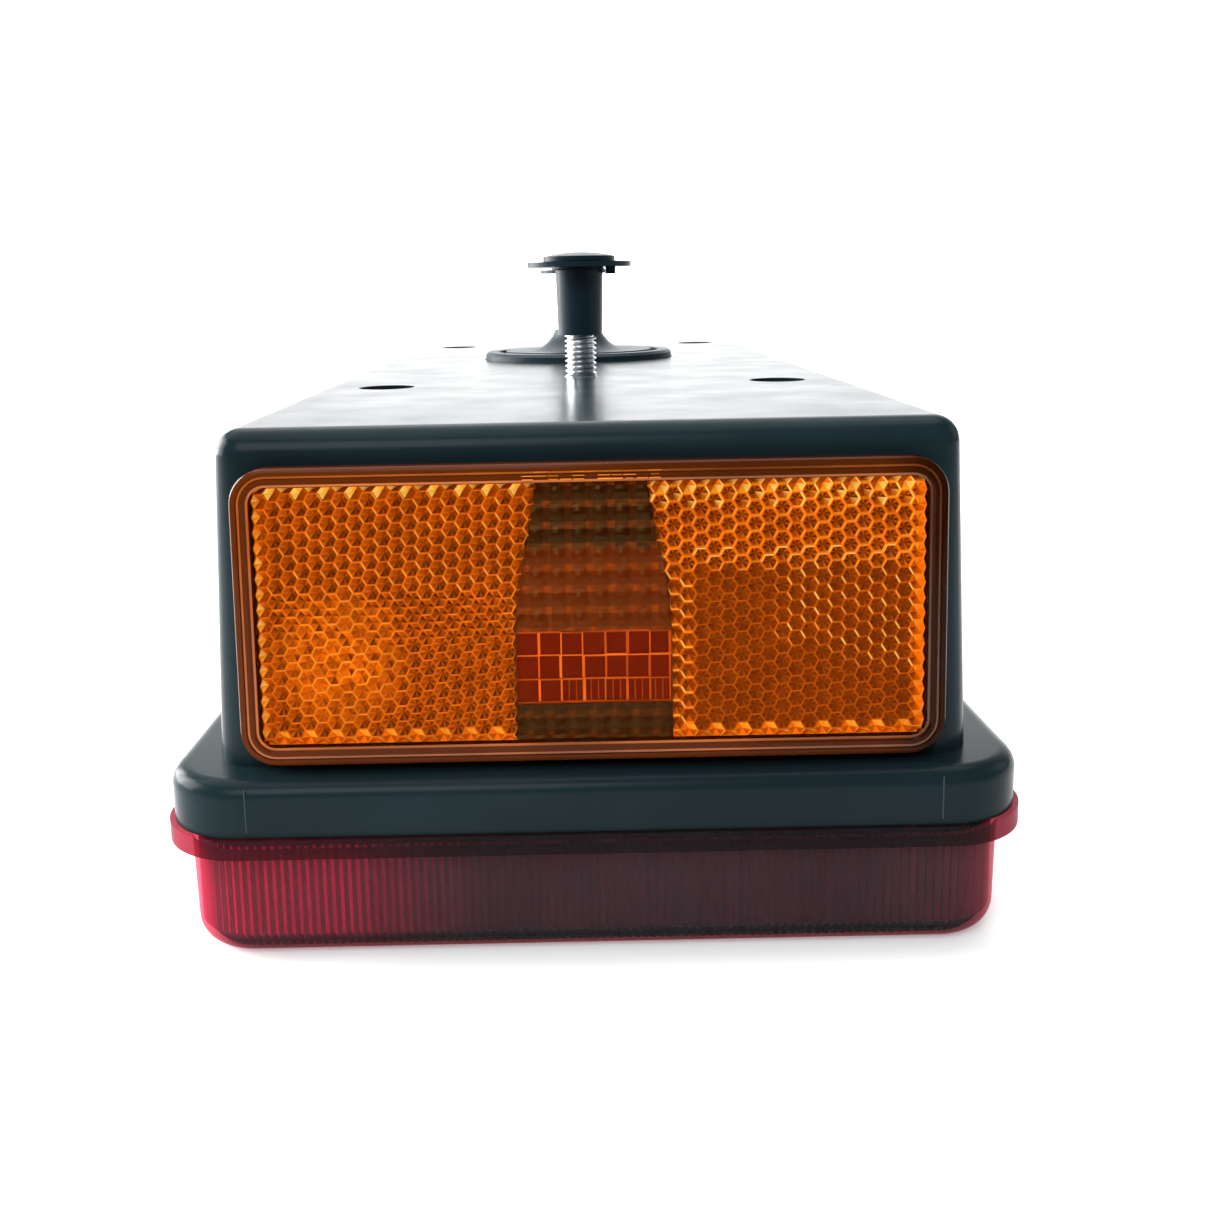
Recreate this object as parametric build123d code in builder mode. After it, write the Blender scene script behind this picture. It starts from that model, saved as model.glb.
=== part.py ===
from build123d import *
from math import asin, cos, radians, sin, sqrt, tan
import os

os.makedirs("parts", exist_ok=True)

# A trailer tail light, 400 x 150 mm, lying on its lens. Millimetres.
# Origin: centre of the back face, midway between the two studs. +Z leaves the back
# along the studs. +Y runs along the lamp, away from the end with the amber marker lens.

# Driving sizes: whole lamp
lamp_length = 400.0
lamp_width = 150.0
stud_spacing = 152.0
draft = 2.3  # degrees, on the deep box of the housing
slip = 0.06  # radial running clearance

# Driving sizes: housing
box_depth = 58.0
box_width = 131.4
box_length = 382.2
box_corner = 7.0
back_edge = 4.5
wall = 3.0
rim_width = 148.0
rim_length = 398.4
rim_depth = 9.5
rim_corner = 14.0
rim_edge = 3.0
recess_x = 46.0
recess_y = 100.0
recess_radius = 6.5
recess_depth = 1.0

# Driving sizes: lens
lens_height = 24.0
lens_flange = 3.5
lens_gap = 0.1
lens_width = 143.7
lens_length = 391.2
lens_corner = 12.0
lens_flange_corner = 15.0
lens_draft = 1.2
lens_edge = 5.0
lens_wall = 2.5
section_ends = [-44.0, 34.0, 108.0]

# Driving sizes: amber marker lens on the end of the box
marker_width = 119.1
marker_height = 50.6
marker_corner = 6.0
marker_stand = 4.4
marker_centre_z = -31.4
marker_rim = 3.0
marker_face = 2.2
window_width = 25.0
window_top = 10.4
window_bottom = -15.6
window_split = -3.5

# Driving sizes: fastenings and cable entry
stud_radius = 4.0
stud_bare = 10.3
stud_top = 25.4
stud_pitch_radius = 3.6
stud_collar_radius = 4.3
stud_head_flats = 13.0
stud_head_height = 5.3
nut_bottom = 10.6
grommet_y = 14.0
grommet_radius = 29.8
cable_bore = 4.5
screw_x = 56.0
lens_screw_y = [-168.0, 0.0, 168.0]
carrier_screw_y = [-84.0, 84.0]

# Driving sizes: bulb carrier
plate_width = 140.0
plate_length = 390.0
plate_thickness = 2.0
pocket_bounds = [-184.0, -118.0, -44.0, 34.0, 108.0, 184.0]
pocket_width = 96.0
pocket_depth = 33.0
pocket_taper = 14.0
pocket_wall = 1.6
bulb_names = ["tail", "stop", "indicator", "reverse", "fog"]
small_bulbs = ["tail"]

# Heights that follow from the sizes above
box_bottom = -box_depth
rim_bottom = box_bottom - rim_depth
ledge = box_bottom - wall
lens_top = rim_bottom - lens_gap
lens_front = rim_bottom - lens_height
plate_bottom = ledge - plate_thickness
floor_front = plate_bottom + pocket_depth
floor_back = floor_front + pocket_wall
half_spacing = stud_spacing / 2
pocket_centres = [(a + b) / 2 for a, b in zip(pocket_bounds, pocket_bounds[1:])]
lens_screw_points = [(sx * screw_x, y) for sx in (-1, 1) for y in lens_screw_y]
carrier_screw_points = [(sx * screw_x, y) for sx in (-1, 1) for y in carrier_screw_y]
recess_points = [(sx * recess_x, sy * recess_y) for sx in (-1, 1) for sy in (-1, 1)]
boss_radius = 4.5
screw_radius = 2.0
boss_bore = screw_radius + slip
boss_drill_depth = 22.0
head_pocket_wall = 4.0
grommet_seat = 1.2
grommet_hole = grommet_radius - 5.0
stud_end_chamfer = 0.8


def end_face_y(z):
    """Outer face of the box's marker end at height z."""
    return -box_length / 2 + (z - box_bottom) * tan(radians(draft))


end_plane = Plane(
    origin=(0, end_face_y(marker_centre_z), marker_centre_z),
    x_dir=(1, 0, 0),
    z_dir=(0, -cos(radians(draft)), sin(radians(draft))),
)


def finish(part, label):
    """Names one finished piece and writes it."""
    part.label = label
    export_step(part, f"parts/{label}.step")


# Housing: deep tapered box on a wide rim, open towards the lens
with BuildPart() as housing:
    with BuildSketch(Plane.XY.offset(box_bottom)):
        RectangleRounded(box_width, box_length, box_corner)
    extrude(amount=box_depth, taper=draft)
    fillet(housing.faces().sort_by(Axis.Z)[-1].edges(), back_edge)
    with BuildSketch(Plane.XY.offset(rim_bottom)):
        RectangleRounded(rim_width, rim_length, rim_corner)
    extrude(amount=rim_depth)
    rim_top = housing.faces().filter_by(Axis.Z).group_by(Axis.Z)[1].sort_by(SortBy.AREA)[-1]
    fillet(rim_top.outer_wire().edges(), rim_edge)
    # inside of the rim and of the box
    with BuildSketch(Plane.XY.offset(rim_bottom)):
        RectangleRounded(rim_width - 2 * wall, rim_length - 2 * wall, rim_corner - wall)
    extrude(amount=ledge - rim_bottom, mode=Mode.SUBTRACT)
    with BuildSketch(Plane.XY.offset(ledge)):
        RectangleRounded(box_width - 2 * wall, box_length - 2 * wall, box_corner - wall)
    extrude(amount=-wall - ledge, taper=draft, mode=Mode.SUBTRACT)
    # screw bosses tied to the side walls
    boss_height = -wall - ledge
    with Locations(*[(x, y, ledge) for x, y in lens_screw_points + carrier_screw_points]):
        Cylinder(boss_radius, boss_height, align=(Align.CENTER, Align.CENTER, Align.MIN))
    for side in (-1, 1):
        rib_length = box_width / 2 - wall / 2 - screw_x
        for y in lens_screw_y + carrier_screw_y:
            with Locations((side * (screw_x + rib_length / 2 - 1), y, ledge)):
                Box(rib_length, wall, boss_height, align=(Align.CENTER, Align.CENTER, Align.MIN))
    with Locations(*[(x, y, ledge) for x, y in lens_screw_points + carrier_screw_points]):
        Cylinder(
            boss_bore,
            boss_drill_depth,
            align=(Align.CENTER, Align.CENTER, Align.MIN),
            mode=Mode.SUBTRACT,
        )
    # hexagonal pockets hold the stud heads, collars fill the holes in the back
    with BuildSketch(Plane.XY.offset(-wall - stud_head_height)):
        with Locations((0, -half_spacing), (0, half_spacing)):
            Circle(stud_head_flats / 2 + head_pocket_wall)
    extrude(amount=stud_head_height + wall / 2)
    with BuildSketch(Plane.XY.offset(-wall - stud_head_height)):
        with Locations((0, -half_spacing), (0, half_spacing)):
            RegularPolygon(stud_head_flats / 2 + slip, 6, major_radius=False)
    extrude(amount=stud_head_height, mode=Mode.SUBTRACT)
    with BuildSketch(Plane.XY.offset(-wall)):
        with Locations((0, -half_spacing), (0, half_spacing)):
            Circle(stud_collar_radius + slip)
    extrude(amount=wall, mode=Mode.SUBTRACT)
    # seat and hole for the cable grommet
    with BuildSketch(Plane.XY.offset(-wall)):
        with Locations((0, grommet_y)):
            Circle(grommet_hole)
    extrude(amount=wall, mode=Mode.SUBTRACT)
    with BuildSketch(Plane.XY):
        with Locations((0, grommet_y)):
            Circle(grommet_radius + 0.4)
    extrude(amount=-grommet_seat, mode=Mode.SUBTRACT)
    # four shallow round recesses in the back
    with BuildSketch(Plane.XY):
        with Locations(*recess_points):
            Circle(recess_radius)
    extrude(amount=-recess_depth, mode=Mode.SUBTRACT)
    # opening that lets the tail bulb light the marker lens
    with BuildSketch(end_plane):
        with Locations((0, (window_top + window_bottom) / 2)):
            Rectangle(window_width, window_top - window_bottom)
    extrude(amount=-2 * wall, mode=Mode.SUBTRACT)
finish(housing.part, "housing")

# Studs: hexagonal head inside, collar through the back, thread outside.
# The thread is drawn at its pitch radius where the sleeve nut runs.
for where, y in (("near", -half_spacing), ("far", half_spacing)):
    with BuildPart() as stud:
        with BuildSketch(Plane.XY.offset(-wall - stud_head_height)):
            with Locations((0, y)):
                RegularPolygon(stud_head_flats / 2, 6, major_radius=False)
        extrude(amount=stud_head_height)
        with BuildSketch(Plane.XY.offset(-wall)):
            with Locations((0, y)):
                Circle(stud_collar_radius)
        extrude(amount=wall)
        with BuildSketch(Plane.XY):
            with Locations((0, y)):
                Circle(stud_radius)
        extrude(amount=stud_bare)
        with BuildSketch(Plane.XY.offset(stud_bare)):
            with Locations((0, y)):
                Circle(stud_pitch_radius)
        extrude(amount=stud_top - stud_bare)
        chamfer(stud.edges().sort_by(Axis.Z)[-1], stud_end_chamfer)
    finish(stud.part, f"mounting_stud_{where}")

# Sleeve nuts, each with a captive washer that slides with the nut but doesn't turn
sleeve_low = 5.55
sleeve_high = 5.95
washer_bottom = 27.4
washer_top = 28.6
washer_radius = 13.0
washer_bore = 6.15
head_bottom = 28.8
head_top = 31.1
head_radius = 9.0
head_edge = 1.2
catch_radius = 6.35
catch_low = 26.9
catch_high = 27.1
nut_bore = stud_pitch_radius + slip
bore_top = 28.6
counterbore = stud_radius + 2 * slip
counterbore_top = 13.9
lug_depth = 1.8
lug_width = 2.4
lug_length = 5.0
lug_x = 7.8
dome_rise = head_top - head_bottom - head_edge
dome_radius = (head_radius**2 + dome_rise**2) / (2 * dome_rise)
dome_angle = asin(head_radius / dome_radius) / 2
dome_middle = (dome_radius * sin(dome_angle), head_top - dome_radius * (1 - cos(dome_angle)))
for where, y in (("near", -half_spacing), ("far", half_spacing)):
    with BuildPart() as nut:
        with BuildSketch(Plane.XZ.offset(-y)):
            with BuildLine():
                Polyline(
                    (counterbore, nut_bottom),
                    (sleeve_low, nut_bottom),
                    (sleeve_high, catch_low - 0.3),
                    (catch_radius, catch_low),
                    (catch_radius, catch_high),
                    (sleeve_high, catch_high + 0.1),
                    (sleeve_high, head_bottom),
                    (head_radius, head_bottom),
                    (head_radius, head_bottom + head_edge),
                )
                ThreePointArc(
                    (head_radius, head_bottom + head_edge), dome_middle, (0, head_top)
                )
                Polyline(
                    (0, head_top),
                    (0, bore_top),
                    (nut_bore, bore_top),
                    (nut_bore, counterbore_top),
                    (counterbore, counterbore_top),
                    (counterbore, nut_bottom),
                )
            make_face()
        revolve(axis=Axis((0, y, 0), (0, 0, 1)))
    finish(nut.part, f"sleeve_nut_{where}")

    with BuildPart() as washer:
        with BuildSketch(Plane.XY.offset(washer_bottom)):
            with Locations((0, y)):
                Circle(washer_radius)
                Circle(washer_bore, mode=Mode.SUBTRACT)
        extrude(amount=washer_top - washer_bottom)
        # locking tab that stands down from the washer
        with BuildSketch(Plane.XY.offset(washer_bottom - lug_depth)):
            with Locations((lug_x, y)):
                Rectangle(lug_width, lug_length)
        extrude(amount=lug_depth)
    finish(washer.part, f"nut_washer_{where}")

# Rubber grommet: flange in its seat, lip behind the wall, cone around the cable hole
neck_top = 9.0
neck_radius = 7.4
cone_foot_radius = 18.0
cone_middle = (10.2, 4.6)
flange_edge = 1.5
flange_top = 2.3
middle_top = 2.5
groove_floor = 1.3
groove_outer = grommet_radius - 4.2
groove_inner = grommet_radius - 6.4
lip_radius = grommet_radius - 3.6
lip_bottom = -4.8
lip_top = -wall - 0.02
seat_radius = grommet_hole - 0.1
with BuildPart() as grommet:
    with BuildSketch(Plane.XZ.offset(-grommet_y)):
        with BuildLine():
            Polyline(
                (cable_bore, neck_top),
                (cable_bore, lip_bottom),
                (lip_radius, lip_bottom),
                (lip_radius, lip_top),
                (seat_radius, lip_top),
                (seat_radius, -grommet_seat),
                (grommet_radius, -grommet_seat),
                (grommet_radius, flange_edge),
                (grommet_radius - flange_top + flange_edge, flange_top),
                (groove_outer, flange_top),
                (groove_outer, groove_floor),
                (groove_inner, groove_floor),
                (groove_inner, middle_top),
                (cone_foot_radius, middle_top),
            )
            ThreePointArc((cone_foot_radius, middle_top), cone_middle, (neck_radius, neck_top))
            Line((neck_radius, neck_top), (cable_bore, neck_top))
        make_face()
    revolve(axis=Axis((0, grommet_y, 0), (0, 0, 1)))
finish(grommet.part, "cable_grommet")

# Marker lens: a shallow amber cap on the sloping end of the box
gasket_thickness = 0.6
marker_edge = 0.9
marker_inner_corner = 3.0
marker_inner = (marker_width - 2 * marker_rim, marker_height - 2 * marker_rim)
with BuildPart() as marker_lens:
    with BuildSketch(end_plane.offset(gasket_thickness)):
        RectangleRounded(marker_width, marker_height, marker_corner)
    extrude(amount=marker_stand - gasket_thickness)
    front_edges = marker_lens.faces().sort_by(Axis.Y)[0].edges()
    fillet(front_edges, marker_edge)
    with BuildSketch(end_plane.offset(gasket_thickness)):
        RectangleRounded(*marker_inner, marker_inner_corner)
    extrude(amount=marker_stand - gasket_thickness - marker_face, mode=Mode.SUBTRACT)
finish(marker_lens.part, "marker_lens")

with BuildPart() as marker_gasket:
    with BuildSketch(end_plane):
        RectangleRounded(marker_width - 1, marker_height - 1, marker_corner - 0.5)
        RectangleRounded(*marker_inner, marker_inner_corner, mode=Mode.SUBTRACT)
    extrude(amount=gasket_thickness)
finish(marker_gasket.part, "marker_gasket")

# Backing plate of the two reflex fields, with the window between them left open
backing_thickness = 1.2
backing_margin = 0.3
with BuildPart() as marker_backing:
    with BuildSketch(end_plane.offset(0.05)):
        RectangleRounded(
            marker_inner[0] - 2 * backing_margin,
            marker_inner[1] - 2 * backing_margin,
            marker_inner_corner - backing_margin,
        )
        with Locations((0, (window_top + window_bottom) / 2)):
            Rectangle(window_width, window_top - window_bottom, mode=Mode.SUBTRACT)
    extrude(amount=backing_thickness)
finish(marker_backing.part, "marker_backing")

# Red gridded pane in the lower part of the window
pane_gap = 0.1
pane_height = window_split - window_bottom - 2 * pane_gap
pane_centre = (window_split + window_bottom) / 2
pane_recess = 0.5
pane_square = (3.4, 3.3)
square_rise = 0.4
with BuildPart() as marker_pane:
    with BuildSketch(end_plane.offset(-wall + pane_recess)):
        with Locations((0, pane_centre)):
            Rectangle(window_width - 2 * pane_gap, pane_height)
    extrude(amount=wall - 2 * pane_recess)
    with BuildSketch(end_plane.offset(-pane_recess)):
        with Locations((0, pane_centre)):
            with GridLocations(4.1, 4.0, 6, 3):
                Rectangle(*pane_square)
    extrude(amount=square_rise)
finish(marker_pane.part, "marker_window_pane")

# Bulb carrier: one plate on the housing's ledge with five tapered reflector pockets
plate_corner = 9.0
pocket_gap = 4.0
screen_reach = 8.0
screen_thickness = 1.6
holder_hole = 9.7
screw_hole = 2.4
slot_margin = 3.0
with BuildPart() as carrier:
    with BuildSketch(Plane.XY.offset(plate_bottom)):
        RectangleRounded(plate_width, plate_length, plate_corner)
    extrude(amount=plate_thickness)
    for low, high in zip(pocket_bounds, pocket_bounds[1:]):
        with BuildSketch(Plane.XY.offset(plate_bottom)):
            with Locations((0, (low + high) / 2)):
                Rectangle(
                    pocket_width + 2 * pocket_wall, high - low - pocket_gap + 2 * pocket_wall
                )
        extrude(amount=pocket_depth + pocket_wall, taper=pocket_taper)
    for low, high in zip(pocket_bounds, pocket_bounds[1:]):
        with BuildSketch(Plane.XY.offset(plate_bottom)):
            with Locations((0, (low + high) / 2)):
                Rectangle(pocket_width, high - low - pocket_gap)
        extrude(amount=pocket_depth, taper=pocket_taper, mode=Mode.SUBTRACT)
    # screens between the pockets, reaching towards the lens
    with Locations(*[(0, y, plate_bottom - screen_reach) for y in pocket_bounds[1:-1]]):
        Box(
            pocket_width,
            screen_thickness,
            screen_reach + 0.5,
            align=(Align.CENTER, Align.CENTER, Align.MIN),
        )
    # holes for the bulb holders and for both sets of screws
    with Locations(*[(0, y, floor_front - 1) for y in pocket_centres]):
        Cylinder(holder_hole, 4, align=(Align.CENTER, Align.CENTER, Align.MIN), mode=Mode.SUBTRACT)
    with Locations(*[(x, y, plate_bottom - 1) for x, y in lens_screw_points + carrier_screw_points]):
        Cylinder(screw_hole, 4, align=(Align.CENTER, Align.CENTER, Align.MIN), mode=Mode.SUBTRACT)
    # slot in the end wall of the tail pocket, in front of the marker window
    with Locations((0, pocket_bounds[0] + 5, plate_bottom + slot_margin)):
        Box(
            window_width,
            20,
            pocket_depth - 2 * slot_margin,
            align=(Align.CENTER, Align.CENTER, Align.MIN),
            mode=Mode.SUBTRACT,
        )
finish(carrier.part, "bulb_carrier")


cross_slot = 0.9


def screw(points, head_seat, shank, head_radius, head_height):
    """Pan head screws, heads towards the lens, cross slots in the heads."""
    with BuildPart() as screws:
        with Locations(*[(x, y, head_seat) for x, y in points]):
            Cylinder(screw_radius, shank, align=(Align.CENTER, Align.CENTER, Align.MIN))
        with Locations(*[(x, y, head_seat - head_height) for x, y in points]):
            Cylinder(head_radius, head_height, align=(Align.CENTER, Align.CENTER, Align.MIN))
        with Locations(*[(x, y, head_seat - head_height) for x, y in points]):
            for size in ((head_radius * 1.2, cross_slot), (cross_slot, head_radius * 1.2)):
                Box(
                    *size,
                    head_height / 2,
                    align=(Align.CENTER, Align.CENTER, Align.MIN),
                    mode=Mode.SUBTRACT,
                )
    return screws.part


finish(screw(carrier_screw_points, plate_bottom, 14.0, 3.8, 2.4), "carrier_screws")
lens_screw_seat = lens_front + 17.0
lens_screw_length = 26.5
finish(screw(lens_screw_points, lens_screw_seat, lens_screw_length, 4.0, 2.8), "lens_screws")

# Bulb holders: metal sleeves through the carrier's floor, with bayonet slots
holder_radius = 9.6
holder_bore = 7.5 + slip
holder_top = -12.5
holder_flange_radius = 12.0
holder_flange = 1.2
holder_roof = 1.5
roof_hole = 2.6
slot_height = 2.6
pin_z = -23.5
pin_radius = 1.0
pin_reach = 8.6
slot_inner = holder_bore - 0.5
slot_outer = pin_reach + 0.2
slot_start = -33.0
slot_end = 9.0


def around(radius, degrees):
    """Point of a plane at a radius and an angle from its x axis."""
    return radius * cos(radians(degrees)), radius * sin(radians(degrees))


for name, y in zip(bulb_names, pocket_centres):
    with BuildPart() as holder:
        with Locations((0, y, floor_front)):
            Cylinder(
                holder_radius,
                holder_top - floor_front,
                align=(Align.CENTER, Align.CENTER, Align.MIN),
            )
        with Locations((0, y, floor_front - holder_flange)):
            Cylinder(
                holder_flange_radius,
                holder_flange,
                align=(Align.CENTER, Align.CENTER, Align.MIN),
            )
        with Locations((0, y, floor_front - holder_flange)):
            Cylinder(
                holder_bore,
                holder_top - floor_front + holder_flange - holder_roof,
                align=(Align.CENTER, Align.CENTER, Align.MIN),
                mode=Mode.SUBTRACT,
            )
        with Locations((0, y, holder_top)):
            Cylinder(roof_hole, 6, mode=Mode.SUBTRACT)
        # two bayonet slots, one for each pin, with room for the whole turn
        for side in (-1, 1):
            slot_plane = Plane(origin=(0, y, pin_z - slot_height / 2), x_dir=(side, 0, 0))
            with BuildSketch(slot_plane):
                with BuildLine():
                    Line(around(slot_inner, slot_start), around(slot_outer, slot_start))
                    ThreePointArc(
                        around(slot_outer, slot_start),
                        around(slot_outer, (slot_start + slot_end) / 2),
                        around(slot_outer, slot_end),
                    )
                    Line(around(slot_outer, slot_end), around(slot_inner, slot_end))
                    ThreePointArc(
                        around(slot_inner, slot_end),
                        around(slot_inner, (slot_start + slot_end) / 2),
                        around(slot_inner, slot_start),
                    )
                make_face()
            extrude(amount=slot_height, mode=Mode.SUBTRACT)
    finish(holder.part, f"{name}_bulb_holder")

# Spring contacts in the back of the holders
contact_radius = 2.4
contact_top = -10.5
base_tip = -15.8
with BuildPart() as contacts:
    with Locations(*[(0, y, base_tip + 0.1) for y in pocket_centres]):
        Cylinder(
            contact_radius,
            contact_top - base_tip,
            align=(Align.CENTER, Align.CENTER, Align.MIN),
        )
finish(contacts.part, "contact_springs")

# Bulbs: bayonet cap and glass
cap_radius = 7.5
cap_bottom = floor_front - 2.6
cap_top = -17.6
cap_tip_radius = 3.0
glass_sizes = {"small": (9.4, -55.0), "large": (13.2, -65.6)}
neck = 5.9
neck_flare = 1.5
thickness = 0.8
for name, y in zip(bulb_names, pocket_centres):
    glass_radius, glass_tip = glass_sizes["small" if name in small_bulbs else "large"]
    ball_z = glass_tip + glass_radius
    with BuildPart() as cap:
        with Locations((0, y, cap_bottom)):
            Cylinder(
                cap_radius, cap_top - cap_bottom, align=(Align.CENTER, Align.CENTER, Align.MIN)
            )
        with Locations((0, y, cap_top)):
            Cylinder(
                cap_tip_radius,
                base_tip - cap_top,
                align=(Align.CENTER, Align.CENTER, Align.MIN),
            )
        with BuildSketch(Plane.YZ):
            with Locations((y, pin_z)):
                Circle(pin_radius)
        extrude(amount=pin_reach, both=True)
        with Locations((0, y, cap_bottom)):
            Cylinder(
                neck + 0.1, 6, align=(Align.CENTER, Align.CENTER, Align.MIN), mode=Mode.SUBTRACT
            )
    finish(cap.part, f"{name}_bulb_cap")

    root_z = cap_bottom + 5.5
    join_z = ball_z + sqrt(glass_radius**2 - (neck + neck_flare) ** 2)
    inner_radius = glass_radius - thickness
    inner_join_z = ball_z + sqrt(inner_radius**2 - (neck + neck_flare - thickness) ** 2)
    with BuildPart() as glass:
        with BuildSketch(Plane.XZ.offset(-y)):
            with BuildLine():
                Line((neck, root_z), (neck, cap_bottom - 1))
                Line((neck, cap_bottom - 1), (neck + neck_flare, join_z))
                ThreePointArc((neck + neck_flare, join_z), (glass_radius, ball_z), (0, glass_tip))
                Line((0, glass_tip), (0, glass_tip + thickness))
                ThreePointArc(
                    (0, glass_tip + thickness),
                    (inner_radius, ball_z),
                    (neck + neck_flare - thickness, inner_join_z),
                )
                Line((neck + neck_flare - thickness, inner_join_z), (neck - thickness, cap_bottom - 1))
                Line((neck - thickness, cap_bottom - 1), (neck - thickness, root_z))
                Line((neck - thickness, root_z), (neck, root_z))
            make_face()
        revolve(axis=Axis((0, y, 0), (0, 0, 1)))
    finish(glass.part, f"{name}_bulb_glass")

# Terminal block on the back of the reverse pocket, with its screws
block_x = 29.0
block_y = pocket_centres[3]
block_size = (20.0, 34.0, 11.0)
terminal_rows = (1, 6)
terminal_step = 5.4
terminal_hole = 2.0
with BuildPart() as block:
    with Locations((block_x, block_y, floor_back)):
        Box(*block_size, align=(Align.CENTER, Align.CENTER, Align.MIN))
    with Locations((block_x, block_y, floor_back + block_size[2])):
        with GridLocations(terminal_step, terminal_step, *terminal_rows):
            Cylinder(terminal_hole, 14, mode=Mode.SUBTRACT)
finish(block.part, "terminal_block")

with BuildPart() as terminal_screws:
    with Locations((block_x, block_y, floor_back + block_size[2])):
        with GridLocations(terminal_step, terminal_step, *terminal_rows):
            Cylinder(
                terminal_hole - 0.1, 5, align=(Align.CENTER, Align.CENTER, Align.MAX)
            )
    with Locations((block_x, block_y, floor_back + block_size[2])):
        with GridLocations(terminal_step, terminal_step, *terminal_rows):
            Box(0.6, 2 * terminal_hole, 1.2, mode=Mode.SUBTRACT)
finish(terminal_screws.part, "terminal_screws")

# Stamped brass strips: one feed for each bulb, and a common earth on the other side
strip = 0.5
strip_width = 3.6
strip_gap = 0.1
strip_overrun = 2.0
feed_lanes = [36.0, 31.0, 26.0, 17.0, 28.0]
block_low = block_y - block_size[1] / 2
block_high = block_y + block_size[1] / 2
with BuildPart() as feeds:
    for lane, y in zip(feed_lanes, pocket_centres):
        if y < block_low:
            with Locations((lane, (y - strip_overrun + block_low) / 2, floor_back)):
                Box(
                    strip_width,
                    block_low - y + strip_overrun,
                    strip,
                    align=(Align.CENTER, Align.CENTER, Align.MIN),
                )
        if y > block_high:
            with Locations((lane, (y + strip_overrun + block_high) / 2, floor_back)):
                Box(
                    strip_width,
                    y + strip_overrun - block_high,
                    strip,
                    align=(Align.CENTER, Align.CENTER, Align.MIN),
                )
        lane_edge = lane + strip_width / 2
        reach = lane_edge - holder_radius - 2 * strip_gap
        with Locations((lane_edge - reach / 2, y, floor_back)):
            Box(reach, strip_width, strip, align=(Align.CENTER, Align.CENTER, Align.MIN))
finish(feeds.part, "feed_strips")

earth_x = -14.0
earth_width = 5.0
earth_end_x = block_x - 6.5
holder_edge = holder_radius + strip_gap
with BuildPart() as earth:
    run = pocket_centres[-1] - pocket_centres[0] + 8
    with Locations((earth_x, (pocket_centres[0] + pocket_centres[-1]) / 2, floor_back)):
        Box(earth_width, run, strip, align=(Align.CENTER, Align.CENTER, Align.MIN))
    with Locations(*[((earth_x - holder_edge) / 2, y, floor_back) for y in pocket_centres]):
        Box(
            -earth_x - holder_edge,
            strip_width,
            strip,
            align=(Align.CENTER, Align.CENTER, Align.MIN),
        )
    with Locations(((earth_x + earth_end_x) / 2, block_high + strip_overrun, floor_back)):
        Box(
            earth_end_x - earth_x,
            strip_width,
            strip,
            align=(Align.CENTER, Align.CENTER, Align.MIN),
        )
finish(earth.part, "earth_strip")

# Foam seal between the carrier's edge and the lens
tongue_width = rim_width - 2 * wall - 0.8
tongue_length = rim_length - 2 * wall - 0.8
tongue_wall = 1.6
tongue_top = rim_bottom + 2.5
foam_width = 5.0
with BuildPart() as lens_gasket:
    with BuildSketch(Plane.XY.offset(tongue_top + 0.1)):
        RectangleRounded(plate_width, plate_length, plate_corner)
        RectangleRounded(
            plate_width - 2 * foam_width,
            plate_length - 2 * foam_width,
            plate_corner - foam_width + 1,
            mode=Mode.SUBTRACT,
        )
    extrude(amount=plate_bottom - tongue_top - 0.1)
finish(lens_gasket.part, "lens_gasket")

# Lens: one shell in four coloured lengths, with a flange, a locating tongue
# and six hollow pillars that the screws stand in
pillar_radius = 6.4
pillar_pocket = 4.7
pillar_hole = 2.2
tongue_corner = rim_corner - wall - 0.4
with BuildPart() as lens:
    with BuildSketch(Plane.XY.offset(lens_top - lens_flange)):
        RectangleRounded(lens_width, lens_length, lens_corner)
    extrude(amount=-(lens_top - lens_flange - lens_front), taper=lens_draft)
    fillet(lens.faces().sort_by(Axis.Z)[0].edges(), lens_edge)
    with BuildSketch(Plane.XY.offset(lens_top - lens_flange)):
        RectangleRounded(lamp_width, lamp_length, lens_flange_corner)
    extrude(amount=lens_flange)
    with BuildSketch(Plane.XY.offset(lens_top)):
        RectangleRounded(tongue_width, tongue_length, tongue_corner)
    extrude(amount=tongue_top - lens_top)
    with BuildSketch(Plane.XY.offset(tongue_top)):
        RectangleRounded(
            tongue_width - 2 * tongue_wall,
            tongue_length - 2 * tongue_wall,
            tongue_corner - tongue_wall,
        )
    extrude(amount=-(tongue_top - lens_front - lens_wall), taper=lens_draft, mode=Mode.SUBTRACT)
    pillar_top = plate_bottom - 0.3
    with Locations(*[(x, y, lens_front + 1) for x, y in lens_screw_points]):
        Cylinder(
            pillar_radius,
            pillar_top - lens_front - 1,
            align=(Align.CENTER, Align.CENTER, Align.MIN),
        )
    with Locations(*[(x, y, lens_front - 1) for x, y in lens_screw_points]):
        Cylinder(
            pillar_pocket,
            lens_screw_seat - lens_front + 1,
            align=(Align.CENTER, Align.CENTER, Align.MIN),
            mode=Mode.SUBTRACT,
        )
    with Locations(*[(x, y, lens_front) for x, y in lens_screw_points]):
        Cylinder(pillar_hole, 40, align=(Align.CENTER, Align.CENTER, Align.MIN), mode=Mode.SUBTRACT)

# Reflex tile let into the front of the red length
reflex_y = -125.0
reflex_size = (62.0, 40.0)
reflex_corner = 3.0
reflex_gap = 0.1
reflex_depth = 1.2
with BuildPart() as reflex:
    with BuildSketch(Plane.XY.offset(lens_front)):
        with Locations((0, reflex_y)):
            RectangleRounded(*reflex_size, reflex_corner)
    extrude(amount=reflex_depth)
finish(reflex.part, "rear_reflector")

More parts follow.
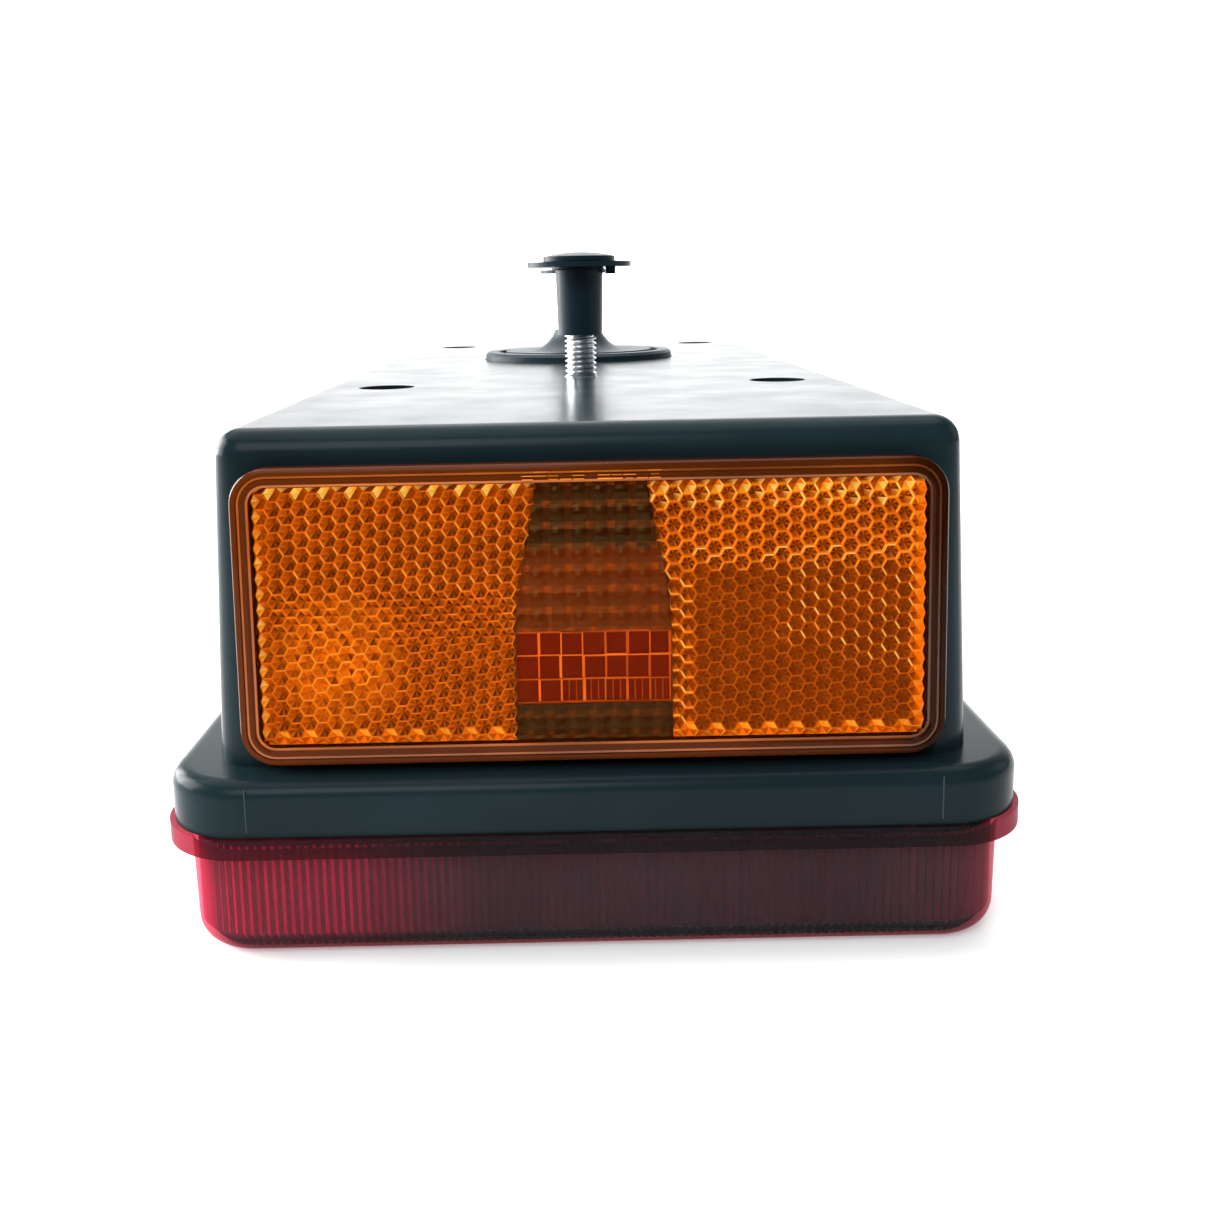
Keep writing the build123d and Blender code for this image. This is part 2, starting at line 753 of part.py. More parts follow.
section_names = ["lens_tail_stop", "lens_indicator", "lens_reverse", "lens_fog"]
section_bounds = [-lamp_length, *section_ends, lamp_length]
for label, low, high in zip(section_names, section_bounds, section_bounds[1:]):
    with BuildPart() as section:
        add(lens.part)
        with Locations((0, (low + high) / 2, lens_front)):
            Box(2 * lamp_width, high - low, 4 * lens_height, mode=Mode.INTERSECT)
        if label == "lens_tail_stop":
            with BuildSketch(Plane.XY.offset(lens_front)):
                with Locations((0, reflex_y)):
                    RectangleRounded(
                        reflex_size[0] + 2 * reflex_gap,
                        reflex_size[1] + 2 * reflex_gap,
                        reflex_corner + reflex_gap,
                    )
            extrude(amount=reflex_depth, mode=Mode.SUBTRACT)
    finish(section.part, label)
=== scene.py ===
from math import ceil, cos, floor, pi, radians, sin, sqrt, tau

import bmesh
import bpy
from mathutils import Matrix, Vector


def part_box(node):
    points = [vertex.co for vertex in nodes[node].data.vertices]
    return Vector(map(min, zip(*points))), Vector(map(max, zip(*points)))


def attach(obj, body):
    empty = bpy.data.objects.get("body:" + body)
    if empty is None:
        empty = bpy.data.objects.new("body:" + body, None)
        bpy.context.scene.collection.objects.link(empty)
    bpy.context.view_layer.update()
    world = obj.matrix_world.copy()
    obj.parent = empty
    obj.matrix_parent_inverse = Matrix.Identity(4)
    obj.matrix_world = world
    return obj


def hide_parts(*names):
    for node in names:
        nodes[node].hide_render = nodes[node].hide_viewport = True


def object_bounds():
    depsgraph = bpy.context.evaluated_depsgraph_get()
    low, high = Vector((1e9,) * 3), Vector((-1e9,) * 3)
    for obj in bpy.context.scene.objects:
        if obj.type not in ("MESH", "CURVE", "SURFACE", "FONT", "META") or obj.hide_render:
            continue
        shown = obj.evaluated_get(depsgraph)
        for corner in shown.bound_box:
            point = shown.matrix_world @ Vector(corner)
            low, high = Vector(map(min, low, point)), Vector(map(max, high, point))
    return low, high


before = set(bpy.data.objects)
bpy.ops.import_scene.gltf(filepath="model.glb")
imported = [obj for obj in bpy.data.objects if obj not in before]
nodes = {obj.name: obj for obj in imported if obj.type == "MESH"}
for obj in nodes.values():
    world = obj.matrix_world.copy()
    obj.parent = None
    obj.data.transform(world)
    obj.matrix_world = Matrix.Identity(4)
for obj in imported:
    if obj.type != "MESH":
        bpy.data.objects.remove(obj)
cad_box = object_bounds()
mm = 0.001

# ------------------------------------------------------------------ camera
FOCAL_SHARE = 1.0481  # focal length over the picture's width
SENSOR_WIDTH = 36.0
camera_shift = (0.0252, -0.0889)  # shares of the picture's width
camera_place = Vector((-2.61, -400.19, 22.61)) * mm
camera_yaw = radians(0.14)
camera_pitch = radians(9.49)
camera_roll = radians(1.13)


def make_camera():
    """Camera near the amber end, looking along the lamp and slightly down."""
    data = bpy.data.cameras.new("camera")
    data.sensor_width = SENSOR_WIDTH
    data.lens = SENSOR_WIDTH * FOCAL_SHARE
    data.shift_x, data.shift_y = camera_shift
    data.clip_start = 0.01
    data.clip_end = 50.0
    forward = Vector(
        (
            sin(camera_yaw) * cos(camera_pitch),
            cos(camera_yaw) * cos(camera_pitch),
            -sin(camera_pitch),
        )
    )
    level = Vector((cos(camera_yaw), -sin(camera_yaw), 0))
    down = forward.cross(level)
    right = cos(camera_roll) * level + sin(camera_roll) * down
    down = cos(camera_roll) * down - sin(camera_roll) * level
    camera = bpy.data.objects.new("camera", data)
    camera.matrix_world = Matrix.Translation(camera_place) @ (
        Matrix((right, -down, -forward)).transposed().to_4x4()
    )
    bpy.context.scene.collection.objects.link(camera)
    bpy.context.scene.camera = camera


# ------------------------------------------------------------------ mesh helpers
def add_piece(name, mesh, body):
    """Places a mesh in the scene as one piece of the lamp, fastened to its body."""
    piece = bpy.data.objects.new(name, mesh)
    bpy.context.scene.collection.objects.link(piece)
    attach(piece, body)
    return piece


def add_mesh(name, verts, faces, body, materials, material_index=None, sharp=35):
    """A smooth piece of the lamp, with creases where faces meet at more than an angle."""
    mesh = bpy.data.meshes.new(name)
    mesh.from_pydata([tuple(v) for v in verts], [], faces)
    for material in materials:
        mesh.materials.append(material)
    if material_index:
        mesh.polygons.foreach_set("material_index", material_index)
    work = bmesh.new()
    work.from_mesh(mesh)
    bmesh.ops.recalc_face_normals(work, faces=work.faces)
    work.to_mesh(mesh)
    work.free()
    mesh.polygons.foreach_set("use_smooth", [True] * len(mesh.polygons))
    mesh.set_sharp_from_angle(angle=radians(sharp))
    return add_piece(name, mesh, body)


def add_painted(
    name, verts, faces, paints, material, body="housing", layer_name="shade"
):
    """A piece of the lamp with one painted shade for each face."""
    mesh = bpy.data.meshes.new(name)
    mesh.from_pydata([tuple(v) for v in verts], [], faces)
    mesh.materials.append(material)
    layer = mesh.color_attributes.new(layer_name, "FLOAT_COLOR", "CORNER")
    for polygon, paint in zip(mesh.polygons, paints):
        for corner in polygon.loop_indices:
            layer.data[corner].color = (*paint, 1.0)
    add_piece(name, mesh, body)


def bridge(loops, closed_end=True, closed_start=True):
    """Faces between successive loops of equal length, with caps at the ends."""
    count = len(loops[0])
    verts = [point for loop in loops for point in loop]
    faces = []
    for i in range(len(loops) - 1):
        a, b = i * count, (i + 1) * count
        for j in range(count):
            k = (j + 1) % count
            faces.append((a + j, a + k, b + k, b + j))
    if closed_start:
        faces.append(tuple(range(count)))
    if closed_end:
        faces.append(tuple(range(len(verts) - count, len(verts))))
    return verts, faces


def append_bridge(verts, faces, loops):
    """Adds a closed run of loops to the vertices and faces of a piece."""
    more_verts, more_faces = bridge(loops)
    start = len(verts)
    verts += more_verts
    faces += [tuple(start + q for q in face) for face in more_faces]


def rounded_outline(half_w, half_h, radius, arc_steps=8):
    """Anticlockwise points of a rectangle with round corners, centred on zero."""
    points = []
    for corner in range(4):
        sx = (1, -1, -1, 1)[corner]
        sy = (1, 1, -1, -1)[corner]
        for step in range(arc_steps + 1):
            angle = (corner + step / arc_steps) * pi / 2
            points.append(
                (
                    sx * (half_w - radius) + radius * cos(angle),
                    sy * (half_h - radius) + radius * sin(angle),
                )
            )
    return points


# ------------------------------------------------------------------ materials
def new_material(name):
    """A material with its node tree and its Principled shader."""
    material = bpy.data.materials.new(name)
    material.use_nodes = True
    tree = material.node_tree
    shader = tree.nodes["Principled BSDF"]
    return material, tree, shader


def link(tree, source, target):
    """Joins an output to an input."""
    tree.links.new(source, target)


def noise(tree, scale, detail=3.0):
    """Cloudy noise fixed to the object, with its scale in cells a metre."""
    coords = tree.nodes.new("ShaderNodeTexCoord")
    node = tree.nodes.new("ShaderNodeTexNoise")
    node.inputs["Scale"].default_value = scale
    node.inputs["Detail"].default_value = detail
    link(tree, coords.outputs["Object"], node.inputs["Vector"])
    return node


def ramp(tree, source, stops):
    """Colour ramp with a colour at each stop."""
    node = tree.nodes.new("ShaderNodeValToRGB")
    elements = node.color_ramp.elements
    while len(elements) < len(stops):
        elements.new(0.5)
    for element, (position, colour) in zip(elements, stops):
        element.position = position
        element.color = (*colour, 1.0)
    link(tree, source, node.inputs["Fac"])
    return node


def bump(tree, height, strength, distance, shader):
    """Fine relief on the shader's surface, with its distance in metres."""
    node = tree.nodes.new("ShaderNodeBump")
    node.inputs["Strength"].default_value = strength
    node.inputs["Distance"].default_value = distance
    link(tree, height, node.inputs["Height"])
    link(tree, node.outputs["Normal"], shader.inputs["Normal"])


def uneven_gloss(tree, source, low, high, shader):
    """Roughness that changes between two values over the surface."""
    gloss = tree.nodes.new("ShaderNodeMapRange")
    gloss.inputs["To Min"].default_value = low
    gloss.inputs["To Max"].default_value = high
    link(tree, source, gloss.inputs["Value"])
    link(tree, gloss.outputs["Result"], shader.inputs["Roughness"])


def cloudy_colour(tree, scale, colour, spread):
    """The colour, cloudy by a share either way."""
    stops = [(0.3, shade(colour, 1 - spread)), (0.7, shade(colour, 1 + spread))]
    return ramp(tree, noise(tree, scale).outputs["Fac"], stops).outputs["Color"]


def grade(tree, source, gradings):
    """The source colour multiplied by each grading: axis, both ends in metres, stops."""
    for axis, low, high, stops in gradings:
        source = multiply(tree, source, along(tree, axis, low, high, stops))
    return source


def shade(colour, factor):
    """A colour made lighter or darker by a factor."""
    return tuple(min(1.0, channel * factor) for channel in colour)


def moulded_plastic(
    name, colour, roughness, spread=0.25, grain=0.00002, specular=0.5, dust=False
):
    """Opaque moulding: cloudy colour, fine grain, uneven gloss, sometimes dust."""
    material, tree, shader = new_material(name)
    shader.inputs["Specular IOR Level"].default_value = specular
    source = cloudy_colour(tree, 22.0, colour, spread)
    if dust:
        source = add_dust(tree, source)
    link(tree, source, shader.inputs["Base Color"])
    patches = noise(tree, 60.0, 4.0)
    uneven_gloss(tree, patches.outputs["Fac"], roughness - 0.06, roughness + 0.08, shader)
    fine = noise(tree, 2600.0, 2.0)
    bump(tree, fine.outputs["Fac"], 0.5, grain, shader)
    return material


DUST_GREY = (0.22, 0.24, 0.24)


def add_dust(tree, source):
    """Small pale specks, one in about every ninth 6 mm cell."""
    coords = tree.nodes.new("ShaderNodeTexCoord")
    specks = tree.nodes.new("ShaderNodeTexVoronoi")
    specks.inputs["Scale"].default_value = 170.0
    link(tree, coords.outputs["Object"], specks.inputs["Vector"])
    spot = ramp(tree, specks.outputs["Distance"], [(0.028, (1, 1, 1)), (0.045, (0, 0, 0))])
    chosen = ramp(tree, specks.outputs["Color"], [(0.86, (0, 0, 0)), (0.88, (1, 1, 1))])
    both = multiply(tree, spot.outputs["Color"], chosen.outputs["Color"])
    mix = tree.nodes.new("ShaderNodeMix")
    mix.data_type = "RGBA"
    link(tree, both, mix.inputs["Factor"])
    link(tree, source, mix.inputs["A"])
    mix.inputs["B"].default_value = (*DUST_GREY, 1.0)
    return mix.outputs["Result"]


def multiply(tree, first, second):
    """The product of two colours."""
    mix = tree.nodes.new("ShaderNodeMix")
    mix.data_type = "RGBA"
    mix.blend_type = "MULTIPLY"
    mix.inputs["Factor"].default_value = 1.0
    link(tree, first, mix.inputs["A"])
    link(tree, second, mix.inputs["B"])
    return mix.outputs["Result"]


def along(tree, axis, low, high, stops):
    """Colour that changes along one axis of the lamp, between two places in metres."""
    coords = tree.nodes.new("ShaderNodeTexCoord")
    split = tree.nodes.new("ShaderNodeSeparateXYZ")
    link(tree, coords.outputs["Object"], split.inputs["Vector"])
    place = tree.nodes.new("ShaderNodeMapRange")
    place.inputs["From Min"].default_value = low
    place.inputs["From Max"].default_value = high
    link(tree, split.outputs[axis], place.inputs["Value"])
    return ramp(tree, place.outputs["Result"], stops).outputs["Color"]


BRUSH_STRETCH = (1, 1, 14)


def plated_metal(name, colour, roughness, graded=()):
    """Metal with fine directional marks and slight stains."""
    material, tree, shader = new_material(name)
    shader.inputs["Metallic"].default_value = 1.0
    stain = noise(tree, 300.0)
    tint = ramp(
        tree, stain.outputs["Fac"], [(0.35, shade(colour, 0.8)), (0.65, shade(colour, 1.08))]
    )
    link(tree, grade(tree, tint.outputs["Color"], graded), shader.inputs["Base Color"])
    coords = tree.nodes.new("ShaderNodeTexCoord")
    stretch = tree.nodes.new("ShaderNodeMapping")
    stretch.inputs["Scale"].default_value = BRUSH_STRETCH
    link(tree, coords.outputs["Object"], stretch.inputs["Vector"])
    marks = tree.nodes.new("ShaderNodeTexNoise")
    marks.inputs["Scale"].default_value = 900.0
    link(tree, stretch.outputs["Vector"], marks.inputs["Vector"])
    uneven_gloss(tree, marks.outputs["Fac"], roughness - 0.08, roughness + 0.12, shader)
    bump(tree, marks.outputs["Fac"], 0.25, 0.00003, shader)
    return material


ACRYLIC_IOR = 1.49


def see_through(
    name,
    passing,
    body,
    body_share,
    roughness=0.08,
    spread=0.12,
    specular=0.5,
    graded=(),
    passing_graded=None,
):
    """Transparent moulding: light passes tinted, and part of it meets the coloured body."""
    material, tree, shader = new_material(name)
    shader.inputs["Specular IOR Level"].default_value = specular
    colour = cloudy_colour(tree, 35.0, body, spread)
    link(tree, grade(tree, colour, graded), shader.inputs["Base Color"])
    shader.inputs["IOR"].default_value = ACRYLIC_IOR
    patches = noise(tree, 90.0)
    smoothest = max(0.02, roughness - 0.03)
    uneven_gloss(tree, patches.outputs["Fac"], smoothest, roughness + 0.04, shader)
    wave = noise(tree, 120.0, 1.0)
    bump(tree, wave.outputs["Fac"], 0.15, 0.0001, shader)
    passes = tree.nodes.new("ShaderNodeBsdfTransparent")
    passes.inputs["Color"].default_value = (*passing, 1.0)
    if passing_graded:
        axis, low, high, stops = passing_graded
        tints = [(place, shade(passing, share)) for place, share in stops]
        link(tree, along(tree, axis, low, high, tints), passes.inputs["Color"])
    mix = tree.nodes.new("ShaderNodeMixShader")
    mix.inputs["Fac"].default_value = body_share
    link(tree, passes.outputs["BSDF"], mix.inputs[1])
    link(tree, shader.outputs["BSDF"], mix.inputs[2])
    link(tree, mix.outputs["Shader"], tree.nodes["Material Output"].inputs["Surface"])
    return material


def facet_plastic(name, roughness, specular, layer):
    """Moulded facets whose colour, with its painted light and shade, is painted on the mesh, under
    a hard gloss.
    """
    material, tree, shader = new_material(name)
    shader.inputs["Specular IOR Level"].default_value = specular
    paint = tree.nodes.new("ShaderNodeVertexColor")
    paint.layer_name = layer
    cloud = noise(tree, 160.0)
    lighten = ramp(tree, cloud.outputs["Fac"], [(0.35, (0.8, 0.8, 0.8)), (0.65, (1, 1, 1))])
    colour = multiply(tree, paint.outputs["Color"], lighten.outputs["Color"])
    link(tree, colour, shader.inputs["Base Color"])
    shader.inputs["Roughness"].default_value = roughness
    return material


HOUSING_BLACK = (0.0075, 0.0165, 0.0195)
LAMP_HALF_W = 0.075
LENS_LOW, LENS_HIGH = -0.0915, -0.0675
# painted light: share of the end wall's brightness along the lamp's width, where light enters at
# both ends
RED_ACROSS = (
    (-0.075, 0.2),
    (-0.0724, 0.25),
    (-0.0716, 1.0),
    (-0.0675, 0.9),
    (-0.066, 0.4),
    (-0.058, 0.33),
    (-0.045, 0.3),
    (-0.03, 0.12),
    (-0.018, 0.07),
    (0.05, 0.065),
    (0.062, 0.09),
    (0.0675, 0.14),
    (0.0695, 0.3),
    (0.0716, 0.3),
    (0.0724, 0.1),
    (0.075, 0.08),
)
red_painted_light_and_shade = [
    (
        "X",
        -LAMP_HALF_W,
        LAMP_HALF_W,
        [
            # bright stretches are red, and dim ones fall to a greyish red
            (
                (x + LAMP_HALF_W) / (2 * LAMP_HALF_W),
                (k, 0.1 * k + 0.24 * (1 - k), 0.25 * k + 0.19 * (1 - k)),
            )
            for x, k in RED_ACROSS
        ],
    ),
    # painted shade: darker and greyer along the bottom edge of the lens, and darker on its flange
    # next to the housing
    (
        "Z",
        LENS_LOW,
        LENS_HIGH,
        [(0.15, (0.3, 0.7, 0.6)), (0.2, (1, 1, 1)), (0.8, (1, 1, 1)), (0.83, (0.3, 0.3, 0.3))],
    ),
]
housing_material = moulded_plastic(
    "housing_plastic", HOUSING_BLACK, 0.22, 0.2, 0.000012, specular=0.055, dust=True
)
mould_line_material = moulded_plastic("mould_line", (0.035, 0.055, 0.055), 0.5, specular=0.1)
nut_material = moulded_plastic("nut_plastic", (0.006, 0.016, 0.024), 0.33, specular=0.12)
rubber_material = moulded_plastic(
    "grommet_rubber", (0.007, 0.018, 0.024), 0.42, 0.2, 0.00006, specular=0.2
)
foam_material = moulded_plastic("seal_foam", (0.02, 0.02, 0.02), 0.9, 0.3, 0.0004)
zinc_material = plated_metal("zinc_plate", (0.84, 0.86, 0.88), 0.2)
# painted highlight: the plated stud is brightest on its left, where the light falls
stud_painted_highlight = [("X", -0.004, 0.004, [(0.35, (1, 1, 1)), (0.5, (0.62, 0.66, 0.68))])]
stud_material = plated_metal("stud_zinc", (0.9, 0.91, 0.92), 0.26, graded=stud_painted_highlight)
nickel_material = plated_metal("nickel_plate", (0.66, 0.63, 0.58), 0.3)
brass_material = plated_metal("brass", (0.78, 0.6, 0.3), 0.3)
reflector_material = moulded_plastic("reflector_white", (0.8, 0.8, 0.78), 0.25, 0.04)
block_material = moulded_plastic("block_plastic", (0.68, 0.66, 0.6), 0.45, 0.06)
backing_material = moulded_plastic(
    "backing_plastic", (0.22, 0.05, 0.002), 0.5, 0.2, specular=0.1
)
grid_material = facet_plastic("pane_grid", 0.3, 0.1, "shade")
red_lens_material = see_through(
    "red_lens",
    (0.82, 0.3, 0.37),
    (0.9, 0.3, 0.4),
    0.26,
    0.06,
    specular=0.1,
    graded=red_painted_light_and_shade,
    # painted shade: less light passes through the flange
    passing_graded=("Z", LENS_LOW, LENS_HIGH, [(0.8, 1.0), (0.83, 0.7)]),
)
red_flute_material = facet_plastic("red_flutes", 0.3, 0.1, "flute")
amber_flute_material = facet_plastic("amber_flutes", 0.15, 0.3, "flute")
clear_flute_material = facet_plastic("clear_flutes", 0.15, 0.3, "flute")
red_optics_material = see_through("red_optics", (0.4, 0.02, 0.04), (0.14, 0.004, 0.012), 0.7, 0.12)
amber_optics_material = see_through("amber_optics", (1.0, 0.62, 0.2), (0.8, 0.3, 0.02), 0.3)
clear_optics_material = see_through("clear_optics", (0.93, 0.94, 0.94), (0.8, 0.82, 0.82), 0.2)
amber_lens_material = see_through("amber_lens", (1.0, 0.5, 0.1), (0.7, 0.22, 0.01), 0.3)
clear_lens_material = see_through("clear_lens", (0.93, 0.94, 0.94), (0.8, 0.82, 0.82), 0.12)
# painted shade: the rim darkens towards the right, away from the light
rim_painted_shade = [
    ("X", -0.06, 0.06, [(0.0, (1, 1, 1)), (0.9, (0.7, 0.7, 0.7)), (0.97, (0.2, 0.2, 0.2))])
]
rim_material = see_through(
    "marker_rim",
    (0.4, 0.1, 0.015),
    (0.13, 0.026, 0.003),
    0.6,
    0.1,
    specular=0.08,
    graded=rim_painted_shade,
)
rim_glow_material = see_through(
    "marker_rim_glow", (0.8, 0.25, 0.03), (0.5, 0.11, 0.004), 0.7, 0.2, 0.5, graded=rim_painted_shade
)
skin_material = see_through("marker_skin", (1.0, 0.9, 0.68), (0.5, 0.12, 0.01), 0.015, 0.04)
pane_material = see_through(
    "marker_pane", (0.5, 0.02, 0.002), (0.11, 0.003, 0.0005), 0.92, 0.3, specular=0.05
)
bulb_material = see_through("bulb_glass", (0.96, 0.97, 0.97), (0.8, 0.82, 0.82), 0.08, 0.03)
amber_bulb_material = see_through("amber_bulb_glass", (1.0, 0.6, 0.2), (0.8, 0.35, 0.05), 0.2)
reflex_material = facet_plastic("reflex_facets", 0.25, 0.1, "shade")
pillow_material = facet_plastic("window_pillow_facets", 0.2, 0.12, "shade")

CAD_LOOKS = {
    "housing": housing_material,
    "cable_grommet": rubber_material,
    "marker_gasket": foam_material,
    "marker_backing": backing_material,
    "bulb_carrier": reflector_material,
    "carrier_screws": zinc_material,
    "contact_springs": brass_material,
    "feed_strips": brass_material,
    "earth_strip": brass_material,
    "terminal_block": block_material,
    "terminal_screws": brass_material,
    "lens_gasket": foam_material,
    "lens_screws": zinc_material,
    "lens_tail_stop": red_lens_material,
    "lens_indicator": amber_lens_material,
    "lens_reverse": clear_lens_material,
    "lens_fog": red_lens_material,
    "rear_reflector": red_lens_material,
}
for bulb in ("tail", "stop", "indicator", "reverse", "fog"):
    CAD_LOOKS[f"{bulb}_bulb_holder"] = nickel_material
    CAD_LOOKS[f"{bulb}_bulb_cap"] = brass_material
    CAD_LOOKS[f"{bulb}_bulb_glass"] = bulb_material
CAD_LOOKS["indicator_bulb_glass"] = amber_bulb_material
for where in ("near", "far"):
    CAD_LOOKS[f"sleeve_nut_{where}"] = nut_material
    CAD_LOOKS[f"nut_washer_{where}"] = nut_material


def dress_cad():
    """Gives each CAD node that stays in view its material."""
    for name, material in CAD_LOOKS.items():
        mesh = nodes[name].data
        mesh.materials.clear()
        mesh.materials.append(material)


# ------------------------------------------------------------------ marker lens
end_tilt = radians(2.3)
GASKET_THICKNESS = 0.6 * mm
TILT_RISE = 0.04  # what the tilt of the end adds to half the height of the lens's box
gasket_low, gasket_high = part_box("marker_gasket")
end_normal = Vector((0, -cos(end_tilt), sin(end_tilt)))
end_up = Vector((0, sin(end_tilt), cos(end_tilt)))
end_centre = (gasket_low + gasket_high) / 2 - end_normal * GASKET_THICKNESS / 2
marker_low, marker_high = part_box("marker_lens")
marker_half_w = (marker_high.x - marker_low.x) / 2 / mm
marker_half_h = (marker_high.z - marker_low.z) / 2 / mm - TILT_RISE
MARKER_CORNER = 6.0
MARKER_STAND = 4.4
MARKER_RIM = 3.4
FIELD_HALF_W = marker_half_w - MARKER_RIM
FIELD_HALF_H = marker_half_h - MARKER_RIM
WINDOW_TOP_HALF_W = 9.2
WINDOW_FLARE = 3.9
WINDOW_FLARE_DEPTH = 0.6  # share of the field's height, from its top
WINDOW_SHIFT = 0.4  # the window stands this far to the right of the lens's middle


def on_end(u, v, w):
    """Point on the marker end, in mm across, up and out from its centre."""
    return end_centre + Vector((u * mm, 0, 0)) + end_up * (v * mm) + end_normal * (w * mm)


def window_half(v, side=0):
    """Half width of the window at height v: narrow at the top, straight lower down.

    With a side of -1 or 1, the distance of that edge from the middle of the lens.
    """
    down = (FIELD_HALF_H - v) / (2 * FIELD_HALF_H)
    s = sin(min(1.0, down / WINDOW_FLARE_DEPTH) * pi / 2)
    return WINDOW_TOP_HALF_W + WINDOW_FLARE * (s + s * s) / 2 + WINDOW_SHIFT * side


def make_marker_cover():
    """Amber cap: stepped rim, thin flat skin, open at the back."""
    # inset and height of each step of the rim, from its foot to the skin
    steps = [
        (0.0, 0.6),
        (0.0, 3.7),
        (0.25, 4.2),
        (0.7, MARKER_STAND),
        (1.15, MARKER_STAND),
        (1.3, 4.05),
        (1.65, 4.05),
        (1.8, 4.35),
        (2.35, 4.35),
        (2.75, 3.95),
        (3.15, 3.9),
    ]
    inner = [(3.15, 3.1), (3.0, 2.9), (3.0, 0.6)]
    loops = []
    for inset, height in steps + inner:
        outline = rounded_outline(
            marker_half_w - inset, marker_half_h - inset, max(MARKER_CORNER - inset, 1.6)
        )
        loops.append([on_end(u, v, height) for u, v in outline])
    count = len(loops[0])
    verts, faces = bridge(loops, closed_end=False, closed_start=False)
    # the stretch between the front of the skin and its back is two flat panes
    skin_row = len(steps) - 1
    faces = [f for f in faces if not skin_row * count <= min(f) < (skin_row + 1) * count]
    front = tuple(range(skin_row * count, (skin_row + 1) * count))
    back = tuple(range((skin_row + 1) * count, (skin_row + 2) * count))
    last = (len(loops) - 1) * count
    for j in range(count):
        k = (j + 1) % count
        faces.append((last + j, last + k, k, j))
    # painted light: light gathers on the floor of the rim's groove and on the ledge inside it
    glowing_rows = (5, 9)
    rim, skin, glow = range(3)
    index = [glow if min(face) // count in glowing_rows else rim for face in faces]
    index += [skin, skin]
    faces += [front, back]
    cover = add_mesh(
        "marker_cover",
        verts,
        faces,
        "housing",
        [rim_material, skin_material, rim_glow_material],
        index,
        sharp=25,
    )
    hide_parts("marker_lens")


# painted light and shade of the reflex cells, from shaded facets up to glints
DARK = (0.09, 0.016, 0.001)
BROWN = (0.26, 0.055, 0.002)
AMBER = (0.53, 0.125, 0.003)
ORANGE = (0.92, 0.25, 0.008)
YELLOW = (1.0, 0.54, 0.08)
GLINT = (1.0, 0.88, 0.45)


def blend_shade(a, b, t):
    """A colour between two others."""
    t = min(1.0, max(0.0, t))
    return tuple(x + (y - x) * t for x, y in zip(a, b))


RANDOM_WEIGHTS = (12.9898, 78.233, 37.719)
RANDOM_STRETCH = 43758.5453


def steady_random(*keys):
    """A repeatable value from 0 to 1 for up to three keys."""
    mixed = sum(key * weight for key, weight in zip(keys, RANDOM_WEIGHTS))
    value = sin(mixed) * RANDOM_STRETCH
    return value - floor(value)


CELL_RISE = 2.62  # height of one hexagonal cell, mm
CELL_STEP = CELL_RISE * sqrt(3) / 2
RINGS_FROM = 0.34  # share of the right-hand field's half height above which its rings show
OUTER_COLUMN_FROM = 0.965  # share of the field's half width


def right_cell(across, height, chance):
    """Painted light and shade of a cell's edges and facets, its ridge's width and how strongly its
    crease is painted, in the right-hand field.
    """
    if height > RINGS_FROM:
        # painted light: whole cells show dark middles in thick bright rings, brightest at the
        # outer top
        strength = min(1.0, 0.1 + 0.4 * across + 0.4 * height)
        edges = [blend_shade(AMBER, ORANGE, 0.25 + strength * chance[k]) for k in range(6)]
        edges[4] = blend_shade(AMBER, YELLOW, strength * chance[6])
        edges[5] = blend_shade(ORANGE, YELLOW, strength * chance[7])
        facets = [blend_shade(DARK, BROWN, 0.7 * chance[k]) for k in range(6)]
        facets[4] = blend_shade(BROWN, AMBER, strength)
        if height > 0.78:
            edges[5] = blend_shade(YELLOW, GLINT, chance[8])
            edges[0] = blend_shade(ORANGE, GLINT, chance[6])
            facets[5] = blend_shade(AMBER, GLINT, chance[10])
        if height < RINGS_FROM + 0.1:
            edges[1] = edges[2] = blend_shade(ORANGE, GLINT, chance[7])
        return edges, facets, 0.2, 1.0
    edges = [blend_shade(BROWN, AMBER, 0.55 + 0.5 * chance[k]) for k in range(6)]
    facets = [blend_shade(BROWN, DARK, 0.25 + 0.5 * chance[k]) for k in range(6)]
    ridge = 0.1
    if across > 0.55 and height > -0.15 - 0.9 * (across - 0.5):
        # painted glints in slanting streaks towards the outer edge
        ridge = 0.13
        edges[0] = blend_shade(ORANGE, GLINT, chance[6])
        edges[3] = blend_shade(AMBER, YELLOW, 0.3 + 0.7 * chance[6])
    return edges, facets, ridge, 0.45


